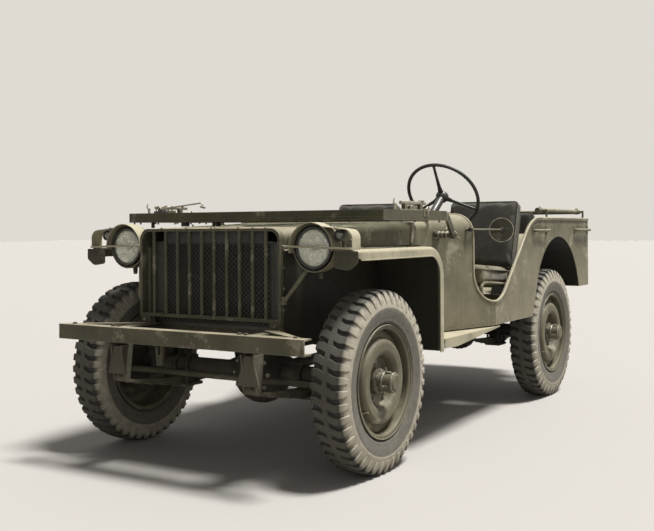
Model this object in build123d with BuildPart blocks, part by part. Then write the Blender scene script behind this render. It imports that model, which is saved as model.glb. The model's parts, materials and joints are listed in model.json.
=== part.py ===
from build123d import *
import math
import os

os.makedirs("parts", exist_ok=True)

# Driving dimensions in millimetres. In this source x points to the car's left, y runs
# rearward from the front axle and z up from the ground.
wheelbase = 2007.0
track = 1206.0
bumper_face_y = -481.0
rear_overhang = 693.0
body_half_width = 680.0
sheet = 4.0
seat_gap = 0.3

# Wheels and tyres
tyre_radius = 356.0
tyre_half_width = 74.0
tread_half_width = 56.0
rim_radius = 207.0
rim_half_width = 57.0
rim_wall = 5.0
flange_radius = 221.0
disc_wall = 5.0
hub_radius = 50.0
cap_radius = 38.0
hub_reach = 37.0
cap_reach = 110.0
spindle_radius = 24.0
spindle_clearance = 0.3
drum_radius = 128.0
drum_inner_x = -42.0

# Steering
kingpin_x = 515.0
kingpin_radius = 10.0
pin_clearance = 0.3
boss_radius = 28.0
boss_half_height = 52.0
arm_length = 175.0
arm_width = 30.0
arm_thickness = 12.0
arm_base_z = 325.0
ball_radius = 7.0
rod_end_radius = 17.0
rod_end_height = 22.0
tie_rod_radius = 12.0

# Axles and springs
axle_tube_radius = 35.0
diff_x = 90.0
diff_radius = 128.0
diff_half = 110.0
axle_tube_end = 460.0
nose_length = 190.0
spring_x = 325.0
spring_half_length = 405.0
leaf_width = 44.0
leaf_thickness = 7.0
spring_pad = 8.0
spring_camber = 30.0
eye_radius = 15.0
eye_pin_radius = 8.0
hanger_plate = 6.0

# Frame
rail_inner_x = 305.0
rail_width = 45.0
rail_wall = 5.0
rail_depth = 75.0
rail_front_top = 557.0
rail_mid_top = 515.0
rail_rear_top = 580.0
rail_rear_end = wheelbase + 683.0

# Bumper
bumper_half_width = 602.0
bumper_base_z = 503.0
bumper_top_z = 563.0
bumper_depth = 50.0
bumper_wall = 6.0

# Radiator guard and hood
guard_half_width = 355.0
guard_base_z = 590.0
guard_top_z = 952.0
guard_front_y = -262.0
guard_depth = 36.0
guard_border = 11.0
guard_corner = 45.0
guard_bar_radius = 7.5
guard_bar_pitch = 63.0
guard_bar_count = 10
hood_rear_y = 710.0
hood_rear_half = 538.0
hood_rear_top = 979.0
hood_rear_shoulder = 32.0
hood_gap = 5.0
hood_base_z = 874.0

# Front fenders
fender_inner_x = guard_half_width + 2.0
fender_outer_x = body_half_width + 6.0
fender_top_z = 870.0
fender_front_y = -240.0
fender_rear_y = 508.0
fender_lip = 40.0
fender_drop_z = 418.0
fender_bend = 128.0
fender_edge = 14.0
fender_corner = 46.0

# Headlamps and marker lamps
lamp_x = guard_half_width + 120.0
lamp_z = 876.0
lamp_lens_y = -212.0
lamp_radius = 93.0
lens_radius = 71.0
bezel_radius = 79.0
lamp_depth = 104.0
lamp_round = 64.0
lamp_notch_gap = 5.0
marker_x = lamp_x + 115.0
marker_z = 924.0
marker_y = -215.0
marker_length = 56.0
marker_radius = 21.0
strap_width = 62.0
strap_lead = 28.0
strap_thickness = 3.0
loop_outer_x = body_half_width - 22.0
loop_corner_z = 943.0
loop_start_angle = 57.0
loop_bend = 34.0

# Cowl, body side and openings
cowl_front_y = 512.0
cowl_front_half = 500.0
cowl_wall_y = 622.0
cowl_wall_lean = 0.5
cowl_shelf_z = 868.0
flare_end_y = 1103.0
sill_z = 476.0
rail_top_z = 1000.0
rear_sill_z = 590.0
door_front_y = 948.0
door_sill_z = 592.0
edge_lip = 12.0
arch_centre_y = wheelbase + 73.0
arch_centre_z = 497.0
arch_radius = 398.0
arch_front_y = wheelbase - 375.0
rear_corner = 45.0
top_tube_radius = 13.0

# Floor and wheel wells
floor_z = 519.0
rear_floor_z = 584.0
riser_y = wheelbase - 409.0
well_inner_x = 430.0
well_gap = 12.0
tunnel_half = 134.0
tunnel_top_z = 604.0
tunnel_end_y = 900.0

# Seats
seat_inner_x = 205.0
seat_width = 419.0
passenger_outer_x = -520.0
cushion_front_y = 1105.0
cushion_length = 387.0
cushion_thickness = 72.0
cushion_base_z = 690.0
cushion_slope = 4.0
back_base_y = 1560.0
back_base_z = 702.0
back_height = 405.0
back_thickness = 66.0
back_lean = 18.0
rear_seat_half = 380.0

# Steering wheel and column
wheel_hub_x = 335.0
wheel_hub_y = 1262.0
wheel_hub_z = 1117.0
column_slope = 37.0
rim_major = 189.0
rim_minor = 9.0
wheel_dish = 4.0
wheel_hub_radius = 34.0
column_radius = 20.0
column_hole_gap = 6.0

# Windscreen
screen_half_width = body_half_width - 18.0
screen_top_y = 0.0
screen_foot_y = 588.0
screen_base_z = 981.0
screen_thickness = 42.0
screen_rail = 30.0
screen_arm = 30.0
pivot_x = body_half_width - 40.0
pivot_y = 701.0
pivot_z = 917.0
pivot_pin_radius = 8.0
glass_thickness = 6.0

# Spare wheel
spare_z = 760.0
spare_gap = 16.0
spare_bore = 30.0

axle_z = tyre_radius
rear_panel_y = wheelbase + rear_overhang
spare_y = rear_panel_y + spare_gap + tyre_half_width
middle_y = (bumper_face_y + spare_y + tyre_half_width) / 2
flare = (body_half_width - cowl_front_half) / (flare_end_y - cowl_front_y)
column_axis = Vector(0, math.cos(math.radians(column_slope)), math.sin(math.radians(column_slope)))
wheel_centre = Vector(wheel_hub_x, wheel_hub_y, wheel_hub_z)


def save(part, name):
    """Label a piece, set it in the row's frame and write it.

    The row's origin is on the ground under the middle of the car's length.
    """
    placed = part.moved(Location((0, -middle_y, 0)))
    placed.label = name
    export_step(placed, f"parts/{name}.step")


def block(x, y, z, mode=Mode.ADD):
    """Add or cut a box given by its (low, high) ranges."""
    with Locations(((x[0] + x[1]) / 2, (y[0] + y[1]) / 2, (z[0] + z[1]) / 2)):
        Box(x[1] - x[0], y[1] - y[0], z[1] - z[0], mode=mode)


def rod(start, end, radius, mode=Mode.ADD):
    """Add or cut a round bar between two points."""
    run = Vector(*end) - Vector(*start)
    with BuildSketch(Plane(origin=start, z_dir=run)) as section:
        Circle(radius)
    extrude(section.sketch, amount=run.length, mode=mode)


def bent_rod(points, bend, radius):
    """Add a round bar bent at each inner point."""
    with BuildLine() as route:
        FilletPolyline(*points, radius=bend)
    with BuildSketch(Plane(origin=route.line @ 0, z_dir=route.line % 0)) as section:
        Circle(radius)
    sweep(section.sketch, path=route.line)


def both_sides(part):
    """Add a left-hand piece and its mirror image."""
    add(part)
    add(mirror(part, about=Plane.YZ, mode=Mode.PRIVATE))


def body_half(y):
    """Half width of the body's outside at a station."""
    return min(body_half_width, cowl_front_half + flare * (y - cowl_front_y))


# Tyres and wheels, all from one profile about the x axis, turned to their place


def tyre_solid():
    """Plain tyre about the x axis, its beads on the rim's seats."""
    bead = rim_radius + seat_gap
    bead_x = rim_half_width - seat_gap
    with BuildPart() as tyre:
        with BuildSketch(Plane.XZ):
            with BuildLine():
                Polyline(
                    (-bead_x, flange_radius + 4),
                    (-bead_x, bead + 5),
                    (-bead_x + 5, bead),
                    (bead_x - 5, bead),
                    (bead_x, bead + 5),
                    (bead_x, flange_radius + 4),
                )
                ThreePointArc((bead_x, flange_radius + 4), (tyre_half_width, 283), (66, 337))
                ThreePointArc((66, 337), (62.5, 347), (tread_half_width, 351))
                ThreePointArc((tread_half_width, 351), (0, tyre_radius), (-tread_half_width, 351))
                ThreePointArc((-tread_half_width, 351), (-62.5, 347), (-66, 337))
                ThreePointArc((-66, 337), (-tyre_half_width, 283), (-bead_x, flange_radius + 4))
            make_face()
        revolve(axis=Axis.X)
    return tyre.part


def wheel_solid(with_hub=True):
    """Rim and dished disc about the x axis, its outer side towards +x."""
    barrel = rim_radius - rim_wall / 2
    weld = rim_radius - rim_wall - disc_wall / 2 + 0.5
    with BuildPart() as wheel:
        with BuildSketch(Plane.XZ):
            with BuildLine() as rim_line:
                FilletPolyline(
                    (-rim_half_width - 9, flange_radius - 4),
                    (-rim_half_width - 3, flange_radius - 1),
                    (-rim_half_width - rim_wall / 2, barrel),
                    (rim_half_width + rim_wall / 2, barrel),
                    (rim_half_width + 3, flange_radius - 1),
                    (rim_half_width + 9, flange_radius - 4),
                    radius=[2.6, 5, 5, 2.6],
                )
            trace(rim_line.line, line_width=rim_wall)
            with BuildLine() as disc_line:
                FilletPolyline(
                    (2, weld),
                    (26, weld),
                    (29, 168),
                    (58, 158),
                    (56, 108),
                    (14, 98),
                    (14, hub_radius - 2 if with_hub else spare_bore),
                    radius=[9, 8, 20, 22, 8],
                )
            trace(disc_line.line, line_width=disc_wall)
        revolve(axis=Axis.X)
        if with_hub:
            bore = spindle_radius + spindle_clearance
            with BuildSketch(Plane.XZ):
                with BuildLine():
                    Polyline(
                        (drum_inner_x, bore),
                        (drum_inner_x, hub_radius - 8),
                        (-6, hub_radius - 8),
                        (-6, drum_radius - 8),
                        (drum_inner_x, drum_radius - 8),
                        (drum_inner_x, drum_radius),
                        (6, drum_radius),
                        (11.5, 90),
                        (11.5, hub_radius),
                        (hub_reach, hub_radius),
                        (hub_reach, cap_radius),
                        (cap_reach - 8, cap_radius),
                        (cap_reach, cap_radius - 10),
                        (cap_reach, 0),
                        (8, 0),
                        (8, bore),
                        close=True,
                    )
                make_face()
            revolve(axis=Axis.X)
    return wheel.part


tyre_part = tyre_solid()
wheel_part = wheel_solid()
spare_part = wheel_solid(with_hub=False)

# name, side (1 left, -1 right), axle y
road_wheels = [
    ("front_left", 1, 0.0),
    ("front_right", -1, 0.0),
    ("rear_left", 1, wheelbase),
    ("rear_right", -1, wheelbase),
]
for corner, side, axle_y in road_wheels:
    turn = 0 if side > 0 else 180
    place = Location((side * track / 2, axle_y, axle_z), (0, 0, turn))
    save(tyre_part.moved(place), f"{corner}_tyre")
    save(wheel_part.moved(place), f"{corner}_wheel")

spare_place = Location((0, spare_y, spare_z), (0, 0, 90))
save(tyre_part.moved(spare_place), "spare_tyre")
save(spare_part.moved(spare_place), "spare_wheel")


# Steering knuckles, tie rod and axles


def knuckle_solid():
    """Left knuckle: boss round the kingpin, backing plate, spindle and forward arm."""
    arm_top = arm_base_z + arm_thickness
    flange_x = track / 2 + drum_inner_x - 10
    with BuildPart() as knuckle:
        rod(
            (kingpin_x, 0, axle_z - boss_half_height),
            (kingpin_x, 0, axle_z + boss_half_height),
            boss_radius,
        )
        rod((kingpin_x, 0, axle_z - 76), (kingpin_x, 0, axle_z + 76), kingpin_radius)
        rod((kingpin_x, 0, axle_z), (flange_x, 0, axle_z), boss_radius + 10)
        rod((flange_x, 0, axle_z), (flange_x + 5, 0, axle_z), drum_radius - 2)
        rod((flange_x, 0, axle_z), (track / 2 + 5, 0, axle_z), spindle_radius)
        with BuildSketch(Plane.XY.offset(arm_base_z)) as arm:
            with Locations((kingpin_x, -arm_length / 2)):
                SlotCenterToCenter(arm_length, arm_width, rotation=90)
        extrude(arm.sketch, amount=arm_thickness)
        rod((kingpin_x, -arm_length, arm_top), (kingpin_x, -arm_length, arm_top + 26), ball_radius)
    return knuckle.part


with BuildPart() as left_knuckle:
    add(knuckle_solid())
save(left_knuckle.part, "left_knuckle")

with BuildPart() as right_knuckle:
    mirror(knuckle_solid(), about=Plane.YZ)
save(right_knuckle.part, "right_knuckle")

with BuildPart() as tie_rod:
    eye_base = arm_base_z + arm_thickness + 1
    rod_z = eye_base + rod_end_height / 2
    rod((-kingpin_x, -arm_length, rod_z), (kingpin_x, -arm_length, rod_z), tie_rod_radius)
    for side in (1, -1):
        centre = (side * kingpin_x, -arm_length)
        rod((*centre, eye_base), (*centre, eye_base + rod_end_height), rod_end_radius)
    for side in (1, -1):
        centre = (side * kingpin_x, -arm_length)
        bore = ball_radius + pin_clearance
        rod((*centre, eye_base - 1), (*centre, eye_base + rod_end_height + 1), bore, Mode.SUBTRACT)
save(tie_rod.part, "tie_rod")


def axle_core(axle_y, nose):
    """Tube, differential housing and pinion nose; nose is 1 rearward, -1 forward."""
    with BuildPart() as core:
        with BuildSketch(Plane.XY.offset(axle_z)) as profile:
            with BuildLine() as edge:
                Polyline(
                    (diff_x - diff_half, axle_y + axle_tube_radius),
                    (-axle_tube_end, axle_y + axle_tube_radius),
                    (-axle_tube_end, axle_y),
                    (axle_tube_end, axle_y),
                    (axle_tube_end, axle_y + axle_tube_radius),
                    (diff_x + diff_half, axle_y + axle_tube_radius),
                )
                ThreePointArc(
                    (diff_x + diff_half, axle_y + axle_tube_radius),
                    (diff_x, axle_y + diff_radius),
                    (diff_x - diff_half, axle_y + axle_tube_radius),
                )
            make_face(edge.line)
        revolve(profile.sketch, axis=Axis((0, axle_y, axle_z), (1, 0, 0)))
        start = (diff_x, axle_y + nose * 60, axle_z)
        with BuildSketch(Plane(origin=start, z_dir=(0, nose, 0))) as foot:
            Circle(78)
        with BuildSketch(Plane(origin=start, z_dir=(0, nose, 0)).offset(nose_length - 60)) as tip:
            Circle(38)
        loft([foot.sketch, tip.sketch])
        for side in (1, -1):
            pad_base = axle_z - axle_tube_radius - spring_pad + 0.4
            block(
                (side * spring_x - 25, side * spring_x + 25),
                (axle_y - 40, axle_y + 40),
                (pad_base, axle_z - axle_tube_radius + 12),
            )
    return core.part


def axle_yoke():
    """Left-hand fork that holds the kingpin above and below the knuckle."""
    lug_gap = boss_half_height + 2
    with BuildPart() as yoke:
        block((430, 474), (-32, 32), (axle_z - lug_gap - 20, axle_z + lug_gap + 20))
        for base in (axle_z + lug_gap, axle_z - lug_gap - 20):
            with BuildSketch(Plane.XY.offset(base)) as lug:
                with Locations((kingpin_x - 20, 0)):
                    SlotCenterToCenter(40, 52)
            extrude(lug.sketch, amount=20)
        bore = kingpin_radius + pin_clearance
        rod((kingpin_x, 0, axle_z - 100), (kingpin_x, 0, axle_z + 100), bore, Mode.SUBTRACT)
        block((474, 560), (-60, 60), (axle_z - lug_gap, axle_z + lug_gap), Mode.SUBTRACT)
    return yoke.part


with BuildPart() as front_axle:
    add(axle_core(0.0, 1))
    both_sides(axle_yoke())
save(front_axle.part, "front_axle")

with BuildPart() as rear_axle:
    add(axle_core(wheelbase, -1))
    for side in (1, -1):
        plate_x = side * (track / 2 + drum_inner_x - 10)
        spindle_x = side * (track / 2 + 5)
        rod((side * 460, wheelbase, axle_z), (plate_x, wheelbase, axle_z), axle_tube_radius + 8)
        rod((plate_x, wheelbase, axle_z), (plate_x + side * 5, wheelbase, axle_z), drum_radius - 2)
        rod((plate_x, wheelbase, axle_z), (spindle_x, wheelbase, axle_z), spindle_radius)
save(rear_axle.part, "rear_axle")


def leaf_spring(axle_y):
    """Left spring: stepped leaves under the axle with eyes, clamp plate and U-bolts."""
    top = axle_z - axle_tube_radius - spring_pad
    radius = (spring_half_length**2 + spring_camber**2) / (2 * spring_camber)
    centre_z = top + radius
    shares = (1.0, 0.82, 0.64, 0.46, 0.3)
    with BuildPart() as spring:
        for row, share in enumerate(shares):
            with BuildSketch(Plane.YZ.offset(spring_x - leaf_width / 2)) as leaf:
                with Locations((axle_y, centre_z)):
                    Circle(radius + leaf_thickness * (row + 1))
                    Circle(radius + leaf_thickness * row, mode=Mode.SUBTRACT)
                with Locations((axle_y, top)):
                    Rectangle(2 * spring_half_length * share, 200, mode=Mode.INTERSECT)
            extrude(leaf.sketch, amount=leaf_width)
        eye_z = top + spring_camber + eye_radius - leaf_thickness
        for end in (-1, 1):
            eye_y = axle_y + end * spring_half_length
            rod(
                (spring_x - leaf_width / 2, eye_y, eye_z),
                (spring_x + leaf_width / 2, eye_y, eye_z),
                eye_radius,
            )
        for end in (-1, 1):
            eye_y = axle_y + end * spring_half_length
            rod(
                (spring_x - leaf_width, eye_y, eye_z),
                (spring_x + leaf_width, eye_y, eye_z),
                eye_pin_radius + pin_clearance,
                Mode.SUBTRACT,
            )
        pack_base = top - leaf_thickness * len(shares)
        block(
            (spring_x - 42, spring_x + 42),
            (axle_y - 58, axle_y + 58),
            (pack_base - 12, pack_base + 0.5),
        )
    return spring.part


def u_bolt(axle_y, shift):
    """U-bolt over the axle tube, left side, its legs down to the clamp plate."""
    reach = axle_tube_radius + 7
    base = axle_z - axle_tube_radius - spring_pad - 5 * leaf_thickness
    with BuildPart() as bolt:
        with BuildLine() as route:
            low = Line((spring_x + shift, axle_y - reach, base), (spring_x + shift, axle_y - reach, axle_z))
            ThreePointArc(
                low @ 1,
                (spring_x + shift, axle_y, axle_z + reach),
                (spring_x + shift, axle_y + reach, axle_z),
            )
            Line(
                (spring_x + shift, axle_y + reach, axle_z),
                (spring_x + shift, axle_y + reach, base),
            )
        with BuildSketch(Plane(origin=route.line @ 0, z_dir=route.line % 0)) as section:
            Circle(6)
        sweep(section.sketch, path=route.line)
    return bolt.part


with BuildPart() as leaf_springs:
    for axle_y in (0.0, wheelbase):
        with BuildPart(mode=Mode.PRIVATE) as left_set:
            add(leaf_spring(axle_y))
            for shift in (-33, 33):
                add(u_bolt(axle_y, shift))
        both_sides(left_set.part)
save(leaf_springs.part, "leaf_springs")

# Frame: two channel rails, cross members, spring hangers and tow eyes

rail_line = [
    (bumper_face_y + bumper_wall, rail_front_top),
    (250, rail_front_top),
    (400, rail_mid_top),
    (wheelbase - 397, rail_mid_top),
    (wheelbase - 267, rail_rear_top),
    (rail_rear_end, rail_rear_top),
    (rail_rear_end, rail_rear_top - rail_depth),
    (wheelbase - 297, rail_rear_top - rail_depth),
    (wheelbase - 427, rail_mid_top - rail_depth),
    (370, rail_mid_top - rail_depth),
    (230, rail_front_top - rail_depth + 3),
    (-300, rail_front_top - rail_depth + 3),
    (-400, bumper_base_z + bumper_wall),
    (bumper_face_y + bumper_wall, bumper_base_z + bumper_wall),
]
spring_eye_z = axle_z - axle_tube_radius - spring_pad + spring_camber + eye_radius - leaf_thickness


def rail_channel():
    """Left rail: a channel open to the inside."""
    with BuildPart() as rail:
        with BuildSketch(Plane.YZ.offset(rail_inner_x)) as outside:
            outline_face(rail_line)
        extrude(outside.sketch, amount=rail_width)
        with BuildSketch(Plane.YZ.offset(rail_inner_x)) as inside:
            outline_face(rail_line)
            offset(amount=-rail_wall, kind=Kind.INTERSECTION)
        extrude(inside.sketch, amount=rail_width - rail_wall, mode=Mode.SUBTRACT)
    return rail.part


def outline_face(points):
    """Closed straight-sided face in the sketch being built."""
    with BuildLine() as edge:
        Polyline(*points, close=True)
    make_face(edge.line)


def hanger(eye_y, base_z):
    """Left pair of hanger plates with the pin through the spring's eye."""
    inner = spring_x - leaf_width / 2 - 2 - hanger_plate
    outer = spring_x + leaf_width / 2 + 2
    with BuildPart() as plates:
        for low in (inner, outer):
            with BuildSketch(Plane.YZ.offset(low)) as plate:
                with BuildLine():
                    Polyline(
                        (eye_y - 34, base_z),
                        (eye_y + 34, base_z),
                        (eye_y + 16, spring_eye_z - 6),
                        (eye_y - 16, spring_eye_z - 6),
                        close=True,
                    )
                make_face()
                with Locations((eye_y, spring_eye_z)):
                    Circle(17)
            extrude(plate.sketch, amount=hanger_plate)
        rod(
            (inner, eye_y, spring_eye_z),
            (outer + hanger_plate, eye_y, spring_eye_z),
            eye_pin_radius,
        )
    return plates.part


def hanger_shield():
    """Left shield plate on the front hanger: narrow at the rail and wide at the spring's eye."""
    front_y = -spring_half_length - 26
    low_z = spring_eye_z + 20
    high_z = rail_front_top - rail_depth
    with BuildPart() as shield:
        with BuildSketch(
            Plane(origin=(spring_x, front_y, 0), x_dir=(1, 0, 0), z_dir=(0, -1, 0))
        ) as plate:
            with BuildLine() as edge:
                Polyline((-50, low_z), (-19, high_z), (19, high_z), (50, low_z), close=True)
            make_face(edge.line)
        extrude(plate.sketch, amount=-hanger_plate)
    return shield.part


def tow_eye():
    """Left tow eye on the rail's rear end, with a cross hole."""
    with BuildPart() as eye:
        with BuildSketch(Plane.YZ.offset(tow_eye_x - tow_eye_plate / 2)) as plate:
            with BuildLine():
                Polyline(
                    (rail_rear_end, tow_eye_z - 30),
                    (tow_eye_y, tow_eye_z - 24),
                    (tow_eye_y, tow_eye_z + 24),
                    (rail_rear_end, tow_eye_z + 30),
                    close=True,
                )
            make_face()
            with Locations((tow_eye_y, tow_eye_z)):
                Circle(24)
                Circle(tow_hole_radius, mode=Mode.SUBTRACT)
        extrude(plate.sketch, amount=tow_eye_plate)
        block(
            (rail_inner_x, rail_inner_x + rail_width),
            (rail_rear_end - 5, rail_rear_end + 1),
            (rail_rear_top - rail_depth, rail_rear_top),
        )
    return eye.part


tow_eye_x = rail_inner_x + rail_width / 2
tow_eye_y = rail_rear_end + 46
tow_eye_z = rail_rear_top - rail_depth / 2
tow_eye_plate = 16.0
tow_hole_radius = 13.0
tow_hook_x = -110.0
tow_hook_z = 418.0
tow_hook_plate = 12.0
tow_hook_inset = 16.0

# body rest y, body's underside z
body_rests = [
    (620.0, floor_z),
    (1180.0, floor_z),
    (wheelbase - 187, rear_floor_z),
    (wheelbase + 413, rear_floor_z),
]


def left_rail():
    """Left rail with its spring hangers, tow eye and the blocks that the body rests on."""
    with BuildPart() as rail:
        add(rail_channel())
        for axle_y, front_base, rear_base in (
            (0.0, rail_front_top - rail_depth + 4, rail_mid_top - rail_depth + 1),
            (wheelbase, rail_mid_top - rail_depth + 1, rail_rear_top - rail_depth + 1),
        ):
            add(hanger(axle_y - spring_half_length, front_base))
            add(hanger(axle_y + spring_half_length, rear_base))
        add(hanger_shield())
        add(tow_eye())
        for rest_y, rest_z in body_rests:
            block(
                (rail_inner_x + 4, rail_inner_x + rail_width - 4),
                (rest_y, rest_y + 60),
                (rest_z - 6, rest_z - seat_gap),
            )
    return rail.part


with BuildPart() as frame_rails:
    both_sides(left_rail())
save(frame_rails.part, "frame_rails")

# cross member y, top z, height, depth along y
cross_members = [
    (-440.0, rail_front_top, 36.0, 50.0),
    (-150.0, rail_front_top, 60.0, 60.0),
    (960.0, rail_mid_top, 60.0, 70.0),
    (wheelbase - 587, rail_mid_top, 60.0, 60.0),
    (wheelbase + 43, rail_rear_top, 60.0, 60.0),
    (rail_rear_end - 56, rail_rear_top, 60.0, 48.0),
]

with BuildPart() as members:
    web_x = rail_inner_x + rail_width - rail_wall - seat_gap
    for member_y, rail_top, height, depth in cross_members:
        top = rail_top - rail_wall - seat_gap
        block((-web_x, web_x), (member_y, member_y + depth), (top - height, top))
        block(
            (-web_x - 1, web_x + 1),
            (member_y + rail_wall, member_y + depth + 1),
            (top - height + rail_wall, top - rail_wall),
            Mode.SUBTRACT,
        )
    first_y, first_top, first_height, _ = cross_members[0]
    hook_top = first_top - rail_wall - first_height + 10
    hook_y = first_y + tow_hook_inset
    with BuildSketch(Plane(origin=(0, hook_y, 0), x_dir=(1, 0, 0), z_dir=(0, -1, 0))) as hook:
        with BuildLine() as edge:
            Polyline(
                (tow_hook_x - 24, hook_top),
                (tow_hook_x + 24, hook_top),
                (tow_hook_x + 13, tow_hook_z),
                (tow_hook_x - 13, tow_hook_z),
                close=True,
            )
        make_face(edge.line)
        with Locations((tow_hook_x, hook_top - 48)):
            SlotCenterToCenter(30, 12, rotation=90, mode=Mode.SUBTRACT)
    extrude(hook.sketch, amount=-tow_hook_plate)
save(members.part, "cross_members")

with BuildPart() as front_bumper:
    block(
        (-bumper_half_width, bumper_half_width),
        (bumper_face_y, bumper_face_y + bumper_depth),
        (bumper_base_z, bumper_top_z),
    )
    block(
        (-bumper_half_width - 1, bumper_half_width + 1),
        (bumper_face_y + bumper_wall, bumper_face_y + bumper_depth + 1),
        (bumper_base_z + bumper_wall, bumper_top_z - bumper_wall),
        Mode.SUBTRACT,
    )
    for side in (1, -1):
        with BuildSketch(Plane.XY.offset(bumper_top_z - bumper_wall)) as gusset:
            with BuildLine() as edge:
                Polyline(
                    (side * 560, bumper_face_y + bumper_depth - 1),
                    (side * 520, bumper_face_y + bumper_depth - 1),
                    (side * rail_inner_x, -300),
                    (side * rail_inner_x, -270),
                    (side * (rail_inner_x + rail_width), -270),
                    close=True,
                )
            make_face(edge.line)
        extrude(gusset.sketch, amount=bumper_wall)
save(front_bumper.part, "front_bumper")

# Engine, gearbox, shafts and exhaust

with BuildPart() as engine_block:
    block((-150, 150), (-80, 430), (500, 850))
save(engine_block.part, "engine_block")

with BuildPart() as gearbox:
    block((-100, 100), (430, 560), (420, 590))
    block((-75, 75), (560, 800), (400, 560))
    block((-60, 170), (800, 950), (318, 505))
save(gearbox.part, "gearbox")

shaft_radius = 25.0
with BuildPart() as propeller_shafts:
    rod((diff_x, nose_length + 0.7, axle_z), (diff_x, 799.3, 365), shaft_radius)
    rod((diff_x, 950.7, 365), (diff_x, wheelbase - nose_length - 0.7, axle_z), shaft_radius)
save(propeller_shafts.part, "propeller_shafts")

manifold_x = 170.3
muffler_x = 220.0
muffler_z = 385.0
with BuildPart() as exhaust:
    bent_rod(
        [
            (-manifold_x, 360, 560),
            (-manifold_x, 470, 470),
            (-muffler_x, 620, muffler_z),
            (-muffler_x, 960, muffler_z),
        ],
        60,
        20,
    )
    rod((-muffler_x, 960, muffler_z), (-muffler_x, 1360, muffler_z), 58)
    bent_rod(
        [
            (-muffler_x, 1360, muffler_z),
            (-muffler_x, 1460, muffler_z),
            (-400, 1580, muffler_z + 15),
            (-560, 1590, muffler_z + 15),
        ],
        50,
        18,
    )
save(exhaust.part, "exhaust")

# Radiator guard, radiator, hood and fenders


def guard_outline(half, base, top, corner):
    """Guard's outline in the front view, with its top corners round."""
    with BuildSketch(Plane(origin=(0, guard_front_y, 0), x_dir=(1, 0, 0), z_dir=(0, -1, 0))) as face:
        with BuildLine():
            FilletPolyline((-half, base), (-half, top), (half, top), (half, base), radius=corner)
            Line((half, base), (-half, base))
        make_face()
    return face.sketch


with BuildPart() as radiator_guard:
    extrude(
        guard_outline(guard_half_width, guard_base_z, guard_top_z, guard_corner),
        amount=-guard_depth,
    )
    extrude(
        guard_outline(
            guard_half_width - guard_border,
            guard_base_z + guard_border,
            guard_top_z - guard_border,
            guard_corner - guard_border / 2,
        ),
        amount=-guard_depth - 1,
        mode=Mode.SUBTRACT,
    )
    for index in range(guard_bar_count):
        bar_x = (index - (guard_bar_count - 1) / 2) * guard_bar_pitch
        rod(
            (bar_x, guard_front_y + guard_bar_radius + 1, guard_base_z + 4),
            (bar_x, guard_front_y + guard_bar_radius + 1, guard_top_z - 4),
            guard_bar_radius,
        )
    for side in (1, -1):
        foot_x = sorted((side * rail_inner_x, side * (rail_inner_x + rail_width)))
        block(
            foot_x,
            (guard_front_y, guard_front_y + guard_depth),
            (rail_front_top, guard_base_z + 1),
        )
save(radiator_guard.part, "radiator_guard")

with BuildPart() as radiator:
    block((-285, 285), (-205, -140), (rail_front_top - 5, 900))
    block((-250, 250), (-210, -130), (900, 938))
save(radiator.part, "radiator")


def hood_section(y, half, top, shoulder, base):
    """Hood outline at one station."""
    with BuildSketch(Plane(origin=(0, y, 0), x_dir=(1, 0, 0), z_dir=(0, -1, 0))) as face:
        with BuildLine():
            FilletPolyline((-half, base), (-half, top), (half, top), (half, base), radius=shoulder)
            Line((half, base), (-half, base))
        make_face()
    return face.sketch


hood_front_y = guard_front_y + guard_depth


def wall_slope(y, z, side_y):
    """Cut all that is on one side of the cowl's sloping front wall; side_y is far off to it."""
    rise = 1100 - z
    with BuildSketch(Plane.YZ) as cut:
        with BuildLine() as edge:
            Polyline(
                (side_y, z - rise),
                (y - cowl_wall_lean * rise, z - rise),
                (y + cowl_wall_lean * rise, z + rise),
                (side_y, z + rise),
                close=True,
            )
        make_face(edge.line)
    return cut.sketch


with BuildPart() as hood:
    loft(
        [
            hood_section(hood_front_y, guard_half_width, guard_top_z, guard_corner, hood_base_z),
            hood_section(
                hood_rear_y, hood_rear_half, hood_rear_top, hood_rear_shoulder, hood_base_z
            ),
        ],
        ruled=True,
    )
    loft(
        [
            hood_section(
                hood_front_y,
                guard_half_width - sheet,
                guard_top_z - sheet,
                guard_corner - sheet,
                hood_base_z - 9,
            ),
            hood_section(
                hood_rear_y,
                hood_rear_half - sheet,
                hood_rear_top - sheet,
                hood_rear_shoulder - sheet,
                hood_base_z - 9,
            ),
        ],
        ruled=True,
        mode=Mode.SUBTRACT,
    )
    beyond = wall_slope(cowl_wall_y - hood_gap, cowl_shelf_z, hood_rear_y + 300)
    extrude(beyond, amount=800, both=True, mode=Mode.SUBTRACT)
save(hood.part, "hood")


def fender_band(depth, inset):
    """Side view of the fender: flat top, rounded bend and rear drop."""
    top = fender_top_z - inset
    rear = fender_rear_y - inset
    front = fender_front_y + inset
    with BuildSketch(Plane.YZ) as band:
        with BuildLine():
            FilletPolyline(
                (front, top - depth),
                (front, top),
                (rear, top),
                (rear, fender_drop_z - inset),
                radius=[0, fender_bend - inset],
            )
            FilletPolyline(
                (rear, fender_drop_z - inset),
                (rear - depth, fender_drop_z - inset),
                (rear - depth, top - depth),
                (front, top - depth),
                radius=[0, max(fender_bend - inset - depth, 12)],
            )
        make_face()
    return band.sketch


def fender_form(inset, inner_x):
    """Fender's outer form, or the hollow inside it, with its rounded edges."""
    outer_x = fender_outer_x - inset
    with BuildPart() as form:
        extrude(
            fender_band(fender_lip, inset).moved(Location((inner_x, 0, 0))),
            amount=outer_x - inner_x,
        )
        corner = form.edges().filter_by(Axis.Z).sort_by(Axis.Y)[:2].sort_by(Axis.X)[-1]
        fillet(corner, fender_corner - inset)
        crest = form.edges().filter_by(Axis.Y).group_by(Axis.Z)[-1].sort_by(Axis.X)[-1]
        fillet(crest, fender_edge - inset)
    return form.part


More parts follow.
